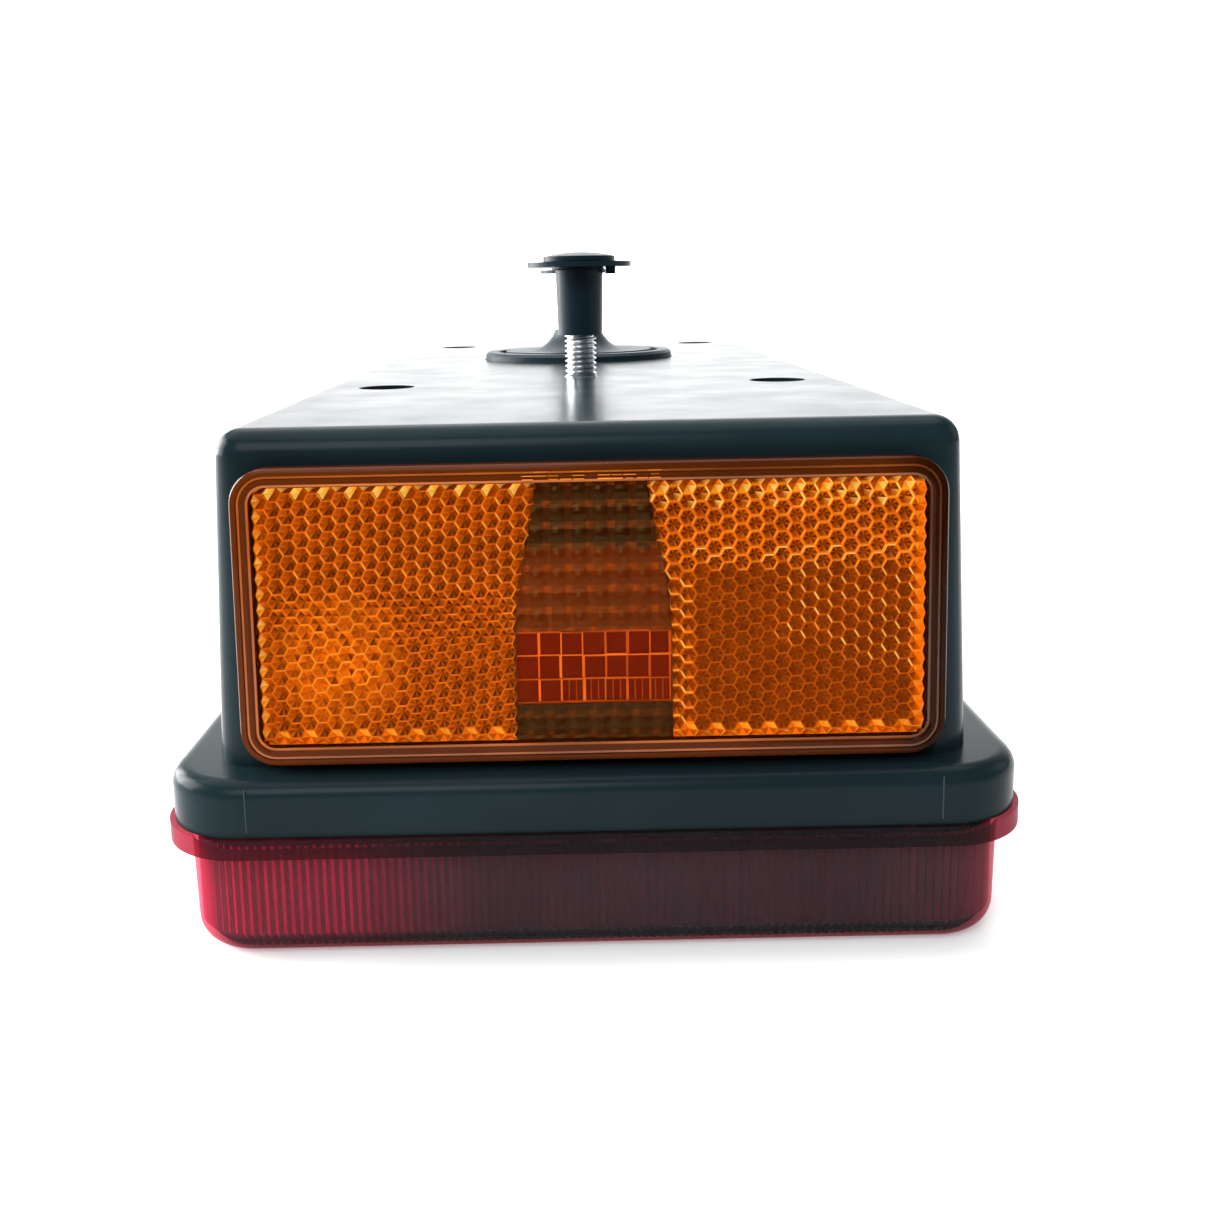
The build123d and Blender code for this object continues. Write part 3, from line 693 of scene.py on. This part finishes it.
def left_cell(across, height, chance):
    """Painted light and shade of a cell's edges and facets, its ridge's width and how strongly its
    crease is painted, in the left-hand field.
    """
    edges = [blend_shade(AMBER, ORANGE, 0.7 * chance[k]) for k in range(6)]
    tones = (DARK, BROWN, blend_shade(BROWN, AMBER, 0.9))
    facets = [blend_shade(tones[(k // 2 + 1) % 3], DARK, 0.35 * chance[k]) for k in range(6)]
    ridge, crease = 0.1, 1.0
    if height > 0.12:
        # painted short slanting glints on each cell
        ridge, crease = 0.12, 0.6
        edges = [blend_shade(AMBER, ORANGE, 0.15 + 0.5 * chance[k]) for k in range(6)]
        edges[0] = blend_shade(ORANGE, GLINT, 0.2 + 0.6 * chance[6])
        edges[3] = blend_shade(ORANGE, YELLOW, 0.7 * chance[7])
    elif height > -0.22:
        # star-like cells: facets painted dark and bright by turns
        edges[1] = blend_shade(ORANGE, YELLOW, 0.8 * chance[6])
        edges[4] = blend_shade(AMBER, ORANGE, 1.5 * chance[8])
        facets = [blend_shade(DARK, AMBER, (k % 2) * (0.5 + 0.5 * chance[k])) for k in range(6)]
    else:
        edges[4] = blend_shade(AMBER, ORANGE, 1.5 * chance[6])
        edges[0] = blend_shade(AMBER, YELLOW, chance[7] ** 3)
    patch = ((across - 0.76) / 0.22) ** 2 + ((height + 0.35) / 0.6) ** 2
    if patch < 1:
        # a patch of painted scattered glints low on the outer side
        ridge, crease = 0.13, 0.5
        glow = 1 - patch
        edges = [blend_shade(edge, YELLOW, glow * chance[k - 3]) for k, edge in enumerate(edges)]
        facets = [
            blend_shade(facet, ORANGE, glow * chance[k - 5]) for k, facet in enumerate(facets)
        ]
    return edges, facets, ridge, crease


def cell_shades(u, v, column, row, right_side):
    """Painted light and shade of a cell's six edges and six facets, its ridge's width and how
    strongly its crease is painted.

    Edge 0 is the upper right one, and the rest follow anticlockwise. The border cells and
    those beside the window get painted glints of their own, unlike the rest of their field.
    """
    across = abs(u) / FIELD_HALF_W
    height = v / FIELD_HALF_H
    chance = [steady_random(column, row, k + (7 if right_side else 0)) for k in range(12)]
    field_cell = right_cell if right_side else left_cell
    edges, facets, ridge, crease = field_cell(across, height, chance)
    if v > FIELD_HALF_H - CELL_RISE * 0.6:
        # one painted glint, a bright wedge, in each cell along the top
        crease = 0.1
        edges = [AMBER, ORANGE, GLINT, AMBER, AMBER, AMBER]
        facets = [BROWN, YELLOW, GLINT, GLINT, BROWN, BROWN]
        if right_side:
            edges = [GLINT, ORANGE, AMBER, AMBER, YELLOW, GLINT]
            facets = [ORANGE, BROWN, BROWN, AMBER, YELLOW, GLINT]
    elif v < -FIELD_HALF_H + CELL_RISE * 0.6:
        crease = 0.2
        edges = [blend_shade(AMBER, YELLOW, chance[k]) for k in range(6)]
        facets = [YELLOW, YELLOW, ORANGE, AMBER, ORANGE, AMBER]
    elif across > OUTER_COLUMN_FROM and right_side:
        edges = [blend_shade(ORANGE, YELLOW, 0.5 * chance[k]) for k in range(6)]
        facets = [ORANGE, blend_shade(ORANGE, YELLOW, chance[6]), AMBER, BROWN, AMBER, ORANGE]
    elif across > OUTER_COLUMN_FROM:
        crease = 0.5
        edges = [blend_shade(AMBER, ORANGE, chance[k]) for k in range(6)]
        facets = [BROWN, AMBER, blend_shade(ORANGE, GLINT, chance[8]), YELLOW, BROWN, BROWN]
    elif right_side and height < RINGS_FROM and abs(u) < window_half(v) + 5.4:
        # two columns of painted glints, bright hooks, beside the window
        ridge = 0.2
        edges[3] = blend_shade(YELLOW, GLINT, chance[6])
        edges[4] = blend_shade(ORANGE, YELLOW, chance[7])
        facets[4] = AMBER
    elif not right_side and abs(u) < window_half(v) + 2.2:
        edges[5] = edges[0] = blend_shade(AMBER, YELLOW, chance[6])
    return edges, facets, ridge, crease


def make_reflex_field(side):
    """Corner-cube cells in a honeycomb, with a ridge round each cell, painted with their glints
    and shade.
    """
    verts, faces, paints = [], [], []
    ridge_level, cup_level, corner_level = 2.7, 2.45, 1.5
    cell_radius = CELL_RISE / sqrt(3)
    columns = int(FIELD_HALF_W / CELL_STEP) + 1
    rows = int(FIELD_HALF_H / CELL_RISE) + 2
    for column in range(1, columns + 1):
        # the field's edge cuts a little off the outermost column
        u = side * (FIELD_HALF_W - cell_radius * 0.8 - (columns - column) * CELL_STEP)
        if side * u <= 0:
            continue
        for row in range(-rows, rows + 1):
            v = (row + (0.5 if column % 2 else 0.0)) * CELL_RISE
            if abs(v) > FIELD_HALF_H + CELL_RISE * 0.2:
                continue
            if abs(u) < window_half(v, side) - cell_radius * 0.5:
                continue
            edges, facets, ridge, crease = cell_shades(u, v, column, row, side > 0)
            start = len(verts)
            inner_edge = window_half(v, side) + 0.1
            for radius, level in (
                (cell_radius, ridge_level),
                (cell_radius * (1 - ridge), cup_level),
            ):
                for k in range(6):
                    a = u + radius * cos(k * pi / 3)
                    b = v + radius * sin(k * pi / 3)
                    a = side * min(max(side * a, inner_edge), FIELD_HALF_W)
                    b = min(max(b, -FIELD_HALF_H), FIELD_HALF_H)
                    verts.append(on_end(a, b, level))
            middle = min(max(v, -FIELD_HALF_H + 0.3), FIELD_HALF_H - 0.3)
            verts.append(on_end(side * max(abs(u), inner_edge + 0.2), middle, corner_level))
            for k in range(6):
                n = (k + 1) % 6
                faces.append((start + k, start + n, start + 6 + n, start + 6 + k))
                paints.append(edges[k])
                # every facet is split by the faint crease of the prism behind it, one half painted
                # in shade and the other painted lit
                between = len(verts)
                verts.append((verts[start + 6 + k] + verts[start + 6 + n]) / 2)
                depth = crease * (0.5 + 0.5 * steady_random(column, row, k + 20))
                faces.append((start + 6 + k, between, start + 12))
                paints.append(blend_shade(facets[k], DARK, 0.55 * depth))
                faces.append((between, start + 6 + n, start + 12))
                paints.append(blend_shade(facets[k], ORANGE, 0.3 * depth))
    where = "right" if side > 0 else "left"
    add_painted(f"reflex_field_{where}", verts, faces, paints, reflex_material)


# the window's bands from the top, painted with the light and shade seen through it: lowest height,
# shade of a pillow's middle and painted highlight of its corners, and none for the band with the
# red pane
WINDOW_BANDS = [
    (10.35, (0.006, 0.002, 0.001), (0.13, 0.034, 0.012)),
    (-3.55, (0.075, 0.011, 0.001), (0.22, 0.042, 0.004)),
    (-15.65, None, None),
    (-30.0, (0.011, 0.003, 0.0004), (0.08, 0.02, 0.002)),
]


def make_window_pillows():
    """Pillow optics over the window, each a shallow dome with painted highlights at its corners.
    """
    width, rise, steps = 3.6, 3.6, 6
    foot, dome_height = 2.2, 0.55
    widest_half, smallest_area = 14, 1e-9
    verts, faces, paints = [], [], []
    columns = int(ceil(widest_half / width))
    rows = int(ceil(2 * FIELD_HALF_H / rise))
    for i in range(-columns, columns):
        for j in range(rows):
            left = i * width
            low = FIELD_HALF_H - (j + 1) * rise
            start = len(verts)
            for b in range(steps + 1):
                v = max(low + rise * b / steps, -FIELD_HALF_H)
                left_limit, right_limit = (window_half(v, side) + 0.1 for side in (-1, 1))
                for a in range(steps + 1):
                    u = min(max(left + width * a / steps, -left_limit), right_limit)
                    dome = sin(pi * a / steps) * sin(pi * b / steps)
                    verts.append(on_end(u, v, foot + dome_height * dome))
            for b in range(steps):
                v = low + rise * (b + 0.5) / steps
                middle, corner = next(band[1:] for band in WINDOW_BANDS if v > band[0])
                if middle is None:
                    continue
                for a in range(steps):
                    p = start + b * (steps + 1) + a
                    quad = (p, p + 1, p + steps + 2, p + steps + 1)
                    points = [verts[q] for q in quad]
                    area = (points[2] - points[0]).cross(points[3] - points[1]).length
                    if area < smallest_area:
                        continue
                    faces.append(quad)
                    edge_a = a in (0, steps - 1)
                    edge_b = b in (0, steps - 1)
                    chance = steady_random(i, j, a + b)
                    share = 0.12 if edge_a else 0.0
                    if edge_b:
                        share = 0.9 if edge_a else 0.3
                    paints.append(blend_shade(middle, corner, share * (0.5 + 0.8 * chance)))
    used = sorted({q for face in faces for q in face})
    place = {q: n for n, q in enumerate(used)}
    add_painted(
        "window_pillows",
        [verts[q] for q in used],
        [tuple(place[q] for q in face) for face in faces],
        paints,
        pillow_material,
    )


# ------------------------------------------------------------------ red pane
PANE_LOW, PANE_HIGH = WINDOW_BANDS[2][0], WINDOW_BANDS[1][0]
PANE_HALF_W = window_half(PANE_LOW) - 0.05


def make_window_pane():
    """Red pane across the whole window."""
    back, front = 1.3, 1.9
    middle_v = (PANE_HIGH + PANE_LOW) / 2
    outline = rounded_outline(PANE_HALF_W, (PANE_HIGH - PANE_LOW) / 2, 0.4, 3)
    loops = [
        [on_end(u + WINDOW_SHIFT, v + middle_v, w) for u, v in outline] for w in (back, front)
    ]
    verts, faces = bridge(loops)
    pane = add_mesh(
        "window_pane", verts, faces, "housing", [pane_material], sharp=30
    )
    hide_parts("marker_window_pane")


def make_pane_grid():
    """Raised grid on the red pane, uneven as moulded, with painted glints of uneven strength on
    its bars.
    """
    verts, faces, paints = [], [], []
    columns, rows = 7, 3
    step_u, step_v = 2 * PANE_HALF_W / columns, (PANE_HIGH - PANE_LOW) / rows
    for i in range(1, columns + 1):
        u = min(i * step_u - PANE_HALF_W, PANE_HALF_W - 0.25) + WINDOW_SHIFT
        # painted glints: the three bars on the left are painted brighter
        strength = 1.0 if i < 4 else 0.45
        for j in range(rows):
            v = PANE_LOW + j * step_v
            width = 0.09 + 0.16 * steady_random(i, j, 5)
            lean = 0.25 * (steady_random(i, j, 9) - 0.5)
            add_bar(verts, faces, u + lean - width, u + lean + width, v + 0.2, v + step_v)
            paint_bar(paints, strength * (0.5 + 0.5 * steady_random(i, j, 6)))
            if j == 0 and i > 2:
                # the lowest row is divided again on one side
                for part in (1, 2):
                    at = u - part * step_u / 3
                    add_bar(verts, faces, at - 0.06, at + 0.06, v + 0.3, v + step_v)
                    paint_bar(paints, 0.25)
    level_glints = (0.3, 0.5, 1.0, 0.3)
    for j, strength in enumerate(level_glints):
        v = PANE_LOW + j * step_v
        for i in range(columns):
            u = i * step_u - PANE_HALF_W + WINDOW_SHIFT
            width = 0.07 + 0.11 * steady_random(i, j, 3)
            rise = 0.2 * (steady_random(i, j, 4) - 0.5)
            add_bar(verts, faces, u, u + step_u, v + rise - width, v + rise + width)
            paint_bar(paints, strength * (0.6 + 0.4 * steady_random(i, j, 8)))
    add_painted(
        "window_pane_grid", verts, faces, paints, grid_material
    )


# the grid's own dull red, and the painted glint that its bars are blended towards
GRID_DULL = (0.22, 0.012, 0.001)
GRID_GLINT = (1.0, 0.22, 0.03)


def paint_bar(paints, strength):
    """One shade for the six faces of a bar, from dull red to a painted bright orange glint."""
    paints += [blend_shade(GRID_DULL, GRID_GLINT, strength)] * 6


def add_bar(verts, faces, u0, u1, v0, v1, w0=1.85, w1=2.1):
    """A small box on the marker end, added to a list of vertices and faces."""
    start = len(verts)
    for w in (w0, w1):
        verts += [on_end(u0, v0, w), on_end(u1, v0, w), on_end(u1, v1, w), on_end(u0, v1, w)]
    for face in (
        (0, 1, 2, 3),
        (7, 6, 5, 4),
        (0, 4, 5, 1),
        (1, 5, 6, 2),
        (2, 6, 7, 3),
        (3, 7, 4, 0),
    ):
        faces.append(tuple(start + k for k in face))


def make_rim_glints():
    """Thin bars in the rim over the window, painted as bright glints."""
    pitch = 2.1
    back, front = MARKER_STAND - 0.1, MARKER_STAND + 0.04
    verts, faces, paints = [], [], []
    for rise, half_height in ((0.75, 0.1), (1.35, 0.06), (2.0, 0.05)):
        v = FIELD_HALF_H + rise
        for part in range(-5, 6):
            strength = steady_random(part, rise, 2)
            if strength < 0.3:
                continue
            u = part * pitch + WINDOW_SHIFT
            length = 0.5 + 0.6 * strength
            ends, levels = (u - length, u + length), (v - half_height, v + half_height)
            add_bar(verts, faces, *ends, *levels, back, front)
            paints += [blend_shade(BROWN, ORANGE, strength)] * 6
    add_painted("rim_glints", verts, faces, paints, reflex_material)


def make_mould_lines():
    """Fine raised lines on the end of the housing's rim, beside its round corners."""
    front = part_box("housing")[0].y / mm
    foot, crest, rise = 0.12, 0.05, 0.1
    low, high = -66.5, -59.0
    for where, u in (("left", -58.4), ("right", 58.2)):
        outline = [
            (u - foot, front),
            (u + foot, front),
            (u + crest, front - rise),
            (u - crest, front - rise),
        ]
        loops = [[Vector((x, y, z)) * mm for x, y in outline] for z in (low, high)]
        verts, faces = bridge(loops)
        add_mesh(
            f"mould_line_{where}", verts, faces, "housing", [mould_line_material]
        )


# ------------------------------------------------------------------ threaded studs
THREAD_PITCH = 1.25
THREAD_CREST, THREAD_ROOT = 3.97, 3.3
THREAD_SHAPE = (0.0, 0.45, 1.0, 1.0, 0.45, 0.0)  # share of the thread's depth over one pitch
THREAD_START = 0.35
TIP_CHAMFER = 0.5
COLLAR_PROFILE = [(4.0, THREAD_START), (4.0, 0.0), (4.3, 0.0), (4.3, -3.0)]  # radius, height
HEAD_RADIUS = 13.0 / sqrt(3)
HEAD_PROFILE = [(HEAD_RADIUS, -3.0), (HEAD_RADIUS, -7.9), (HEAD_RADIUS * 0.93, -8.3)]


def round_axis(centre, radius, angle, z):
    """Point round an upright axis; the centre is in metres, the radius and height in mm."""
    return centre + Vector((radius * cos(angle), radius * sin(angle), z)) * mm


def make_thread(centre, top, around):
    """Threaded rod from its start up to its flat tip."""
    per_turn = len(THREAD_SHAPE)
    turns = int((top - THREAD_START) / THREAD_PITCH) + 2
    rings = turns * per_turn + 1
    verts, faces = [], []
    for ring in range(rings):
        for j in range(around):
            z = THREAD_START - THREAD_PITCH + (ring / per_turn + j / around) * THREAD_PITCH
            depth = THREAD_SHAPE[ring % per_turn]
            radius = THREAD_ROOT + (THREAD_CREST - THREAD_ROOT) * depth
            if z < THREAD_START:
                z, radius = THREAD_START, THREAD_ROOT
            if z > top:
                z, radius = top, THREAD_ROOT - TIP_CHAMFER
            verts.append(round_axis(centre, radius, tau * j / around, z))
    for ring in range(rings - 1):
        a, b = ring * around, (ring + 1) * around
        for j in range(around - 1):
            faces.append((a + j, a + j + 1, b + j + 1, b + j))
        # the last point of a ring meets the first point of the ring one turn on
        if ring + per_turn < rings - 1:
            turn = per_turn * around
            faces.append((a + around - 1, a + turn, b + turn, b + around - 1))
    last = (rings - 1) * around
    bottom_cap, top_cap = len(verts), len(verts) + 1
    verts += [round_axis(centre, 0.0, 0.0, z) for z in (THREAD_START, top)]
    for j in range(around):
        k = (j + 1) % around
        faces.append((bottom_cap, k, j))
        faces.append((top_cap, last + j, last + k))
    return verts, faces


def make_stud(where):
    """Threaded rod on a plain collar with a hexagonal head below it."""
    low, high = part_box(f"mounting_stud_{where}")
    centre = Vector((0, (low.y + high.y) / 2, 0))
    around = 40
    verts, faces = make_thread(centre, high.z / mm, around)
    for profile, count in ((COLLAR_PROFILE, around), (HEAD_PROFILE, 6)):
        loops = [
            [round_axis(centre, radius, tau * j / count, z) for j in range(count)]
            for radius, z in profile
        ]
        append_bridge(verts, faces, loops)
    stud = add_mesh(
        f"threaded_stud_{where}", verts, faces, "housing", [stud_material], sharp=50
    )
    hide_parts(f"mounting_stud_{where}")


# ------------------------------------------------------------------ lens flutes and optics
LENS_SECTIONS = {
    "lens_tail_stop": ("red_plastic", red_flute_material, red_optics_material),
    "lens_indicator": ("amber_plastic", amber_flute_material, amber_optics_material),
    "lens_reverse": ("clear_plastic", clear_flute_material, clear_optics_material),
    "lens_fog": ("red_plastic", red_flute_material, red_optics_material),
}
# painted light: the lit and the shaded flank of the flutes, for each colour
FLUTE_LIT_AND_SHADED = {
    "red_plastic": ((1.0, 0.12, 0.34), (0.16, 0.02, 0.05)),
    "amber_plastic": ((1.0, 0.5, 0.06), (0.6, 0.2, 0.01)),
    "clear_plastic": ((0.9, 0.92, 0.92), (0.6, 0.62, 0.62)),
}


def across_share(x):
    """Painted brightness of the red wall at a place across the lamp, from the table above."""
    for (x0, k0), (x1, k1) in zip(RED_ACROSS, RED_ACROSS[1:]):
        if x <= x1:
            return k0 + (k1 - k0) * min(1.0, max(0.0, (x - x0) / (x1 - x0)))
    return RED_ACROSS[-1][1]


def inner_wall_point(distance, half_w, half_l, radius):
    """Point and inward normal at a distance along a rounded rectangle, from mid -Y side."""
    straight_w, straight_l = half_w - radius, half_l - radius
    quarter = radius * pi / 2
    # a straight has its length, start and direction; a corner its length, centre and first angle
    walks = [
        (straight_w, (0, -half_l), (1, 0)),
        (quarter, (straight_w, -straight_l), -pi / 2),
        (2 * straight_l, (half_w, -straight_l), (0, 1)),
        (quarter, (straight_w, straight_l), 0.0),
        (2 * straight_w, (straight_w, half_l), (-1, 0)),
        (quarter, (-straight_w, straight_l), pi / 2),
        (2 * straight_l, (-half_w, straight_l), (0, -1)),
        (quarter, (-straight_w, -straight_l), pi),
        (straight_w, (-straight_w, -half_l), (1, 0)),
    ]
    number = 0
    while number < len(walks) - 1 and distance > walks[number][0]:
        distance -= walks[number][0]
        number += 1
    start, heading = walks[number][1:]
    if number % 2 == 0:
        point = (start[0] + heading[0] * distance, start[1] + heading[1] * distance)
        return point, (-heading[1], heading[0])
    angle = heading + distance / radius
    point = (start[0] + radius * cos(angle), start[1] + radius * sin(angle))
    return point, (-cos(angle), -sin(angle))


def outline_length(half_w, half_l, radius):
    """Length of the outline of a rounded rectangle."""
    return 4 * (half_w - radius) + 4 * (half_l - radius) + tau * radius


def make_flutes():
    """Upright flutes round the inside of the lens wall, one lining for each colour."""
    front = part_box("lens_tail_stop")[0].z / mm
    outline = (70.9, 194.6, 11.0)  # half width, half length and corner radius
    pitch, depth = 1.45, 0.5
    foot, knee, brim = front + 0.5, front + 4.2, front + 20.4
    foot_lean = 3.2
    # painted shade: the lower band of the lining is painted darker than the upper
    bands = ((foot, knee, 0.5), (knee, brim, 1.7))  # lower and upper edge, brightness
    length = outline_length(*outline)
    count = int(length / pitch)
    for name, (slot, material, _) in LENS_SECTIONS.items():
        verts, faces, paints = [], [], []
        bright, dim = FLUTE_LIT_AND_SHADED[slot]
        mean = blend_shade(dim, bright, 0.4)
        y_low, y_high = (corner.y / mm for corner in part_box(name))
        for number in range(count):
            bounds = [
                inner_wall_point((number + share) * length / count, *outline)
                for share in (0.0, 0.5, 1.0)
            ]
            if not all(y_low <= point[1] <= y_high for point, _ in bounds):
                continue
            x = bounds[1][0][0] * mm
            on_end_wall = abs(bounds[1][1][1]) > 0.3
            share = across_share(x) if slot == "red_plastic" and on_end_wall else 0.6
            # painted light: each flute has one lit and one shaded flank, plainest near the ends of
            # the wall
            strong = min(1.0, 0.06 + max(0.0, -x * 32 - 0.5) + max(0.0, x * 20 - 0.7))
            for low, high, level in bands:
                start = len(verts)
                for z in (low, high):
                    # the foot of the lining leans in, to follow the round edge of the lens
                    lean = foot_lean if z == foot else 0.0
                    for ((x, y), (nx, ny)), inward in zip(bounds, (0.0, depth, 0.0)):
                        inward += lean
                        verts.append(Vector((x + nx * inward, y + ny * inward, z)) * mm)
                for side in (0, 1):
                    corner = start + side
                    faces.append((corner, corner + 1, corner + 4, corner + 3))
                    tone = blend_shade(mean, bright if side else dim, strong)
                    chance = 0.8 + 0.4 * steady_random(number, side, 1)
                    paints.append(shade(tone, share * level * chance))
        lining = name.replace("lens_", "flutes_")
        add_painted(lining, verts, faces, paints, material, "lens", "flute")


LENS_WALL = 2.5
PILLOW_SIZE = 6.2
PILLOW_DOME = 0.9
OPTICS_HALF_W, OPTICS_HALF_L = 65.0, 190.0
PILLAR_X = 56
PILLAR_ROWS = (-168, 0, 168)
PILLAR_CLEARANCE = 6.4


def make_front_optics():
    """Pillow optics on the inside of the lens face, one piece for each colour."""
    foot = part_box("lens_tail_stop")[0].z / mm + LENS_WALL - 0.05
    steps = 4
    for name, (slot, _, material) in LENS_SECTIONS.items():
        low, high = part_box(name)
        y0 = max(low.y / mm + 1, -OPTICS_HALF_L)
        y1 = min(high.y / mm - 1, OPTICS_HALF_L)
        nx, ny = int(2 * OPTICS_HALF_W / PILLOW_SIZE), int((y1 - y0) / PILLOW_SIZE)
        sx, sy = 2 * OPTICS_HALF_W / nx, (y1 - y0) / ny
        verts, faces = [], []
        for i in range(nx):
            for j in range(ny):
                cx, cy = -OPTICS_HALF_W + (i + 0.5) * sx, y0 + (j + 0.5) * sy
                if near_pillar(cx, cy, sx):
                    continue
                start = len(verts)
                for b in range(steps + 1):
                    for a in range(steps + 1):
                        dome = PILLOW_DOME * sin(pi * a / steps) * sin(pi * b / steps)
                        x, y = cx + (a / steps - 0.5) * sx, cy + (b / steps - 0.5) * sy
                        verts.append(Vector((x, y, foot + dome)) * mm)
                for b in range(steps):
                    for a in range(steps):
                        p = start + b * (steps + 1) + a
                        faces.append((p, p + 1, p + steps + 2, p + steps + 1))
        add_mesh(name.replace("lens_", "optics_"), verts, faces, "lens", [material], sharp=60)


def near_pillar(x, y, size):
    """True where a pillow would meet one of the lens's six screw pillars."""
    reach = PILLAR_CLEARANCE + size / 2
    beside = abs(abs(x) - PILLAR_X) < reach
    return beside and any(abs(y - row) < reach for row in PILLAR_ROWS)


# ------------------------------------------------------------------ studio
FLOOR_GAP = 0.0002
SWEEP_HALF_W = 4.0
SWEEP_FRONT, BEND_START, BEND_RADIUS, SWEEP_TOP = -0.62, 1.6, 1.2, 4.0
BEND_STEPS = 12
# place, point aimed at, size and power of each lamp of the studio
STUDIO_LIGHTS = {
    "key": ((-0.2, 0.3, 1.5), (0, 0.1, 0), 2.0, 38.0),
    "backdrop": ((0.0, 1.3, 1.7), (0, 2.8, 0.5), 2.6, 76.0),
    "left": ((-1.4, 0.1, 0.5), (0, -0.1, -0.03), 0.9, 38.0),
    "back_left": ((-1.7, 1.0, 0.4), (0, 0, -0.03), 1.0, 42.0),
    "right": ((1.4, 0.1, 0.5), (0, -0.1, -0.03), 0.7, 2.0),
    "front": ((-0.35, -1.3, 0.9), (0, -0.2, -0.03), 0.8, 15.0),
}


def make_sweep():
    """White paper that runs under the lamp and bends up behind it."""
    floor_z = cad_box[0][2] - FLOOR_GAP
    profile = [(SWEEP_FRONT, 0.0), (BEND_START, 0.0)]
    for step in range(1, BEND_STEPS + 1):
        angle = step / BEND_STEPS * pi / 2
        profile.append((BEND_START + BEND_RADIUS * sin(angle), BEND_RADIUS * (1 - cos(angle))))
    profile.append((BEND_START + BEND_RADIUS, SWEEP_TOP))
    verts, faces = [], []
    for x in (-SWEEP_HALF_W, SWEEP_HALF_W):
        verts += [(x, y, floor_z + z) for y, z in profile]
    count = len(profile)
    for k in range(count - 1):
        faces.append((k, k + 1, count + k + 1, count + k))
    mesh = bpy.data.meshes.new("studio_sweep")
    mesh.from_pydata(verts, [], faces)
    mesh.polygons.foreach_set("use_smooth", [True] * len(mesh.polygons))
    material, _, shader = new_material("studio_paper")
    shader.inputs["Base Color"].default_value = (0.93, 0.93, 0.93, 1)
    shader.inputs["Roughness"].default_value = 0.9
    shader.inputs["Emission Color"].default_value = (1, 1, 1, 1)
    shader.inputs["Emission Strength"].default_value = 0.25
    mesh.materials.append(material)
    sweep = bpy.data.objects.new("studio_sweep", mesh)
    bpy.context.scene.collection.objects.link(sweep)


def make_studio():
    """White sweep, soft lamps round it and a faint blue sky."""
    make_sweep()
    for name, (place, target, size, power) in STUDIO_LIGHTS.items():
        add_light(name, place, target, size, power)
    world = bpy.data.worlds.new("studio")
    world.use_nodes = True
    background = world.node_tree.nodes["Background"]
    background.inputs["Color"].default_value = (0.85, 0.95, 1.0, 1)
    background.inputs["Strength"].default_value = 0.22
    bpy.context.scene.world = world
    bpy.context.scene.view_settings.view_transform = "Standard"


def add_light(name, place, target, size, power):
    """Square area lamp aimed at a point."""
    data = bpy.data.lights.new(name, "AREA")
    data.size = size
    data.energy = power
    light = bpy.data.objects.new(name, data)
    light.location = place
    light.rotation_euler = (Vector(target) - Vector(place)).to_track_quat("-Z", "Y").to_euler()
    bpy.context.scene.collection.objects.link(light)


make_camera()
make_studio()
dress_cad()
make_marker_cover()
make_reflex_field(-1)
make_reflex_field(1)
make_window_pillows()
make_window_pane()
make_pane_grid()
make_rim_glints()
make_mould_lines()
make_stud("near")
make_stud("far")
make_flutes()
make_front_optics()
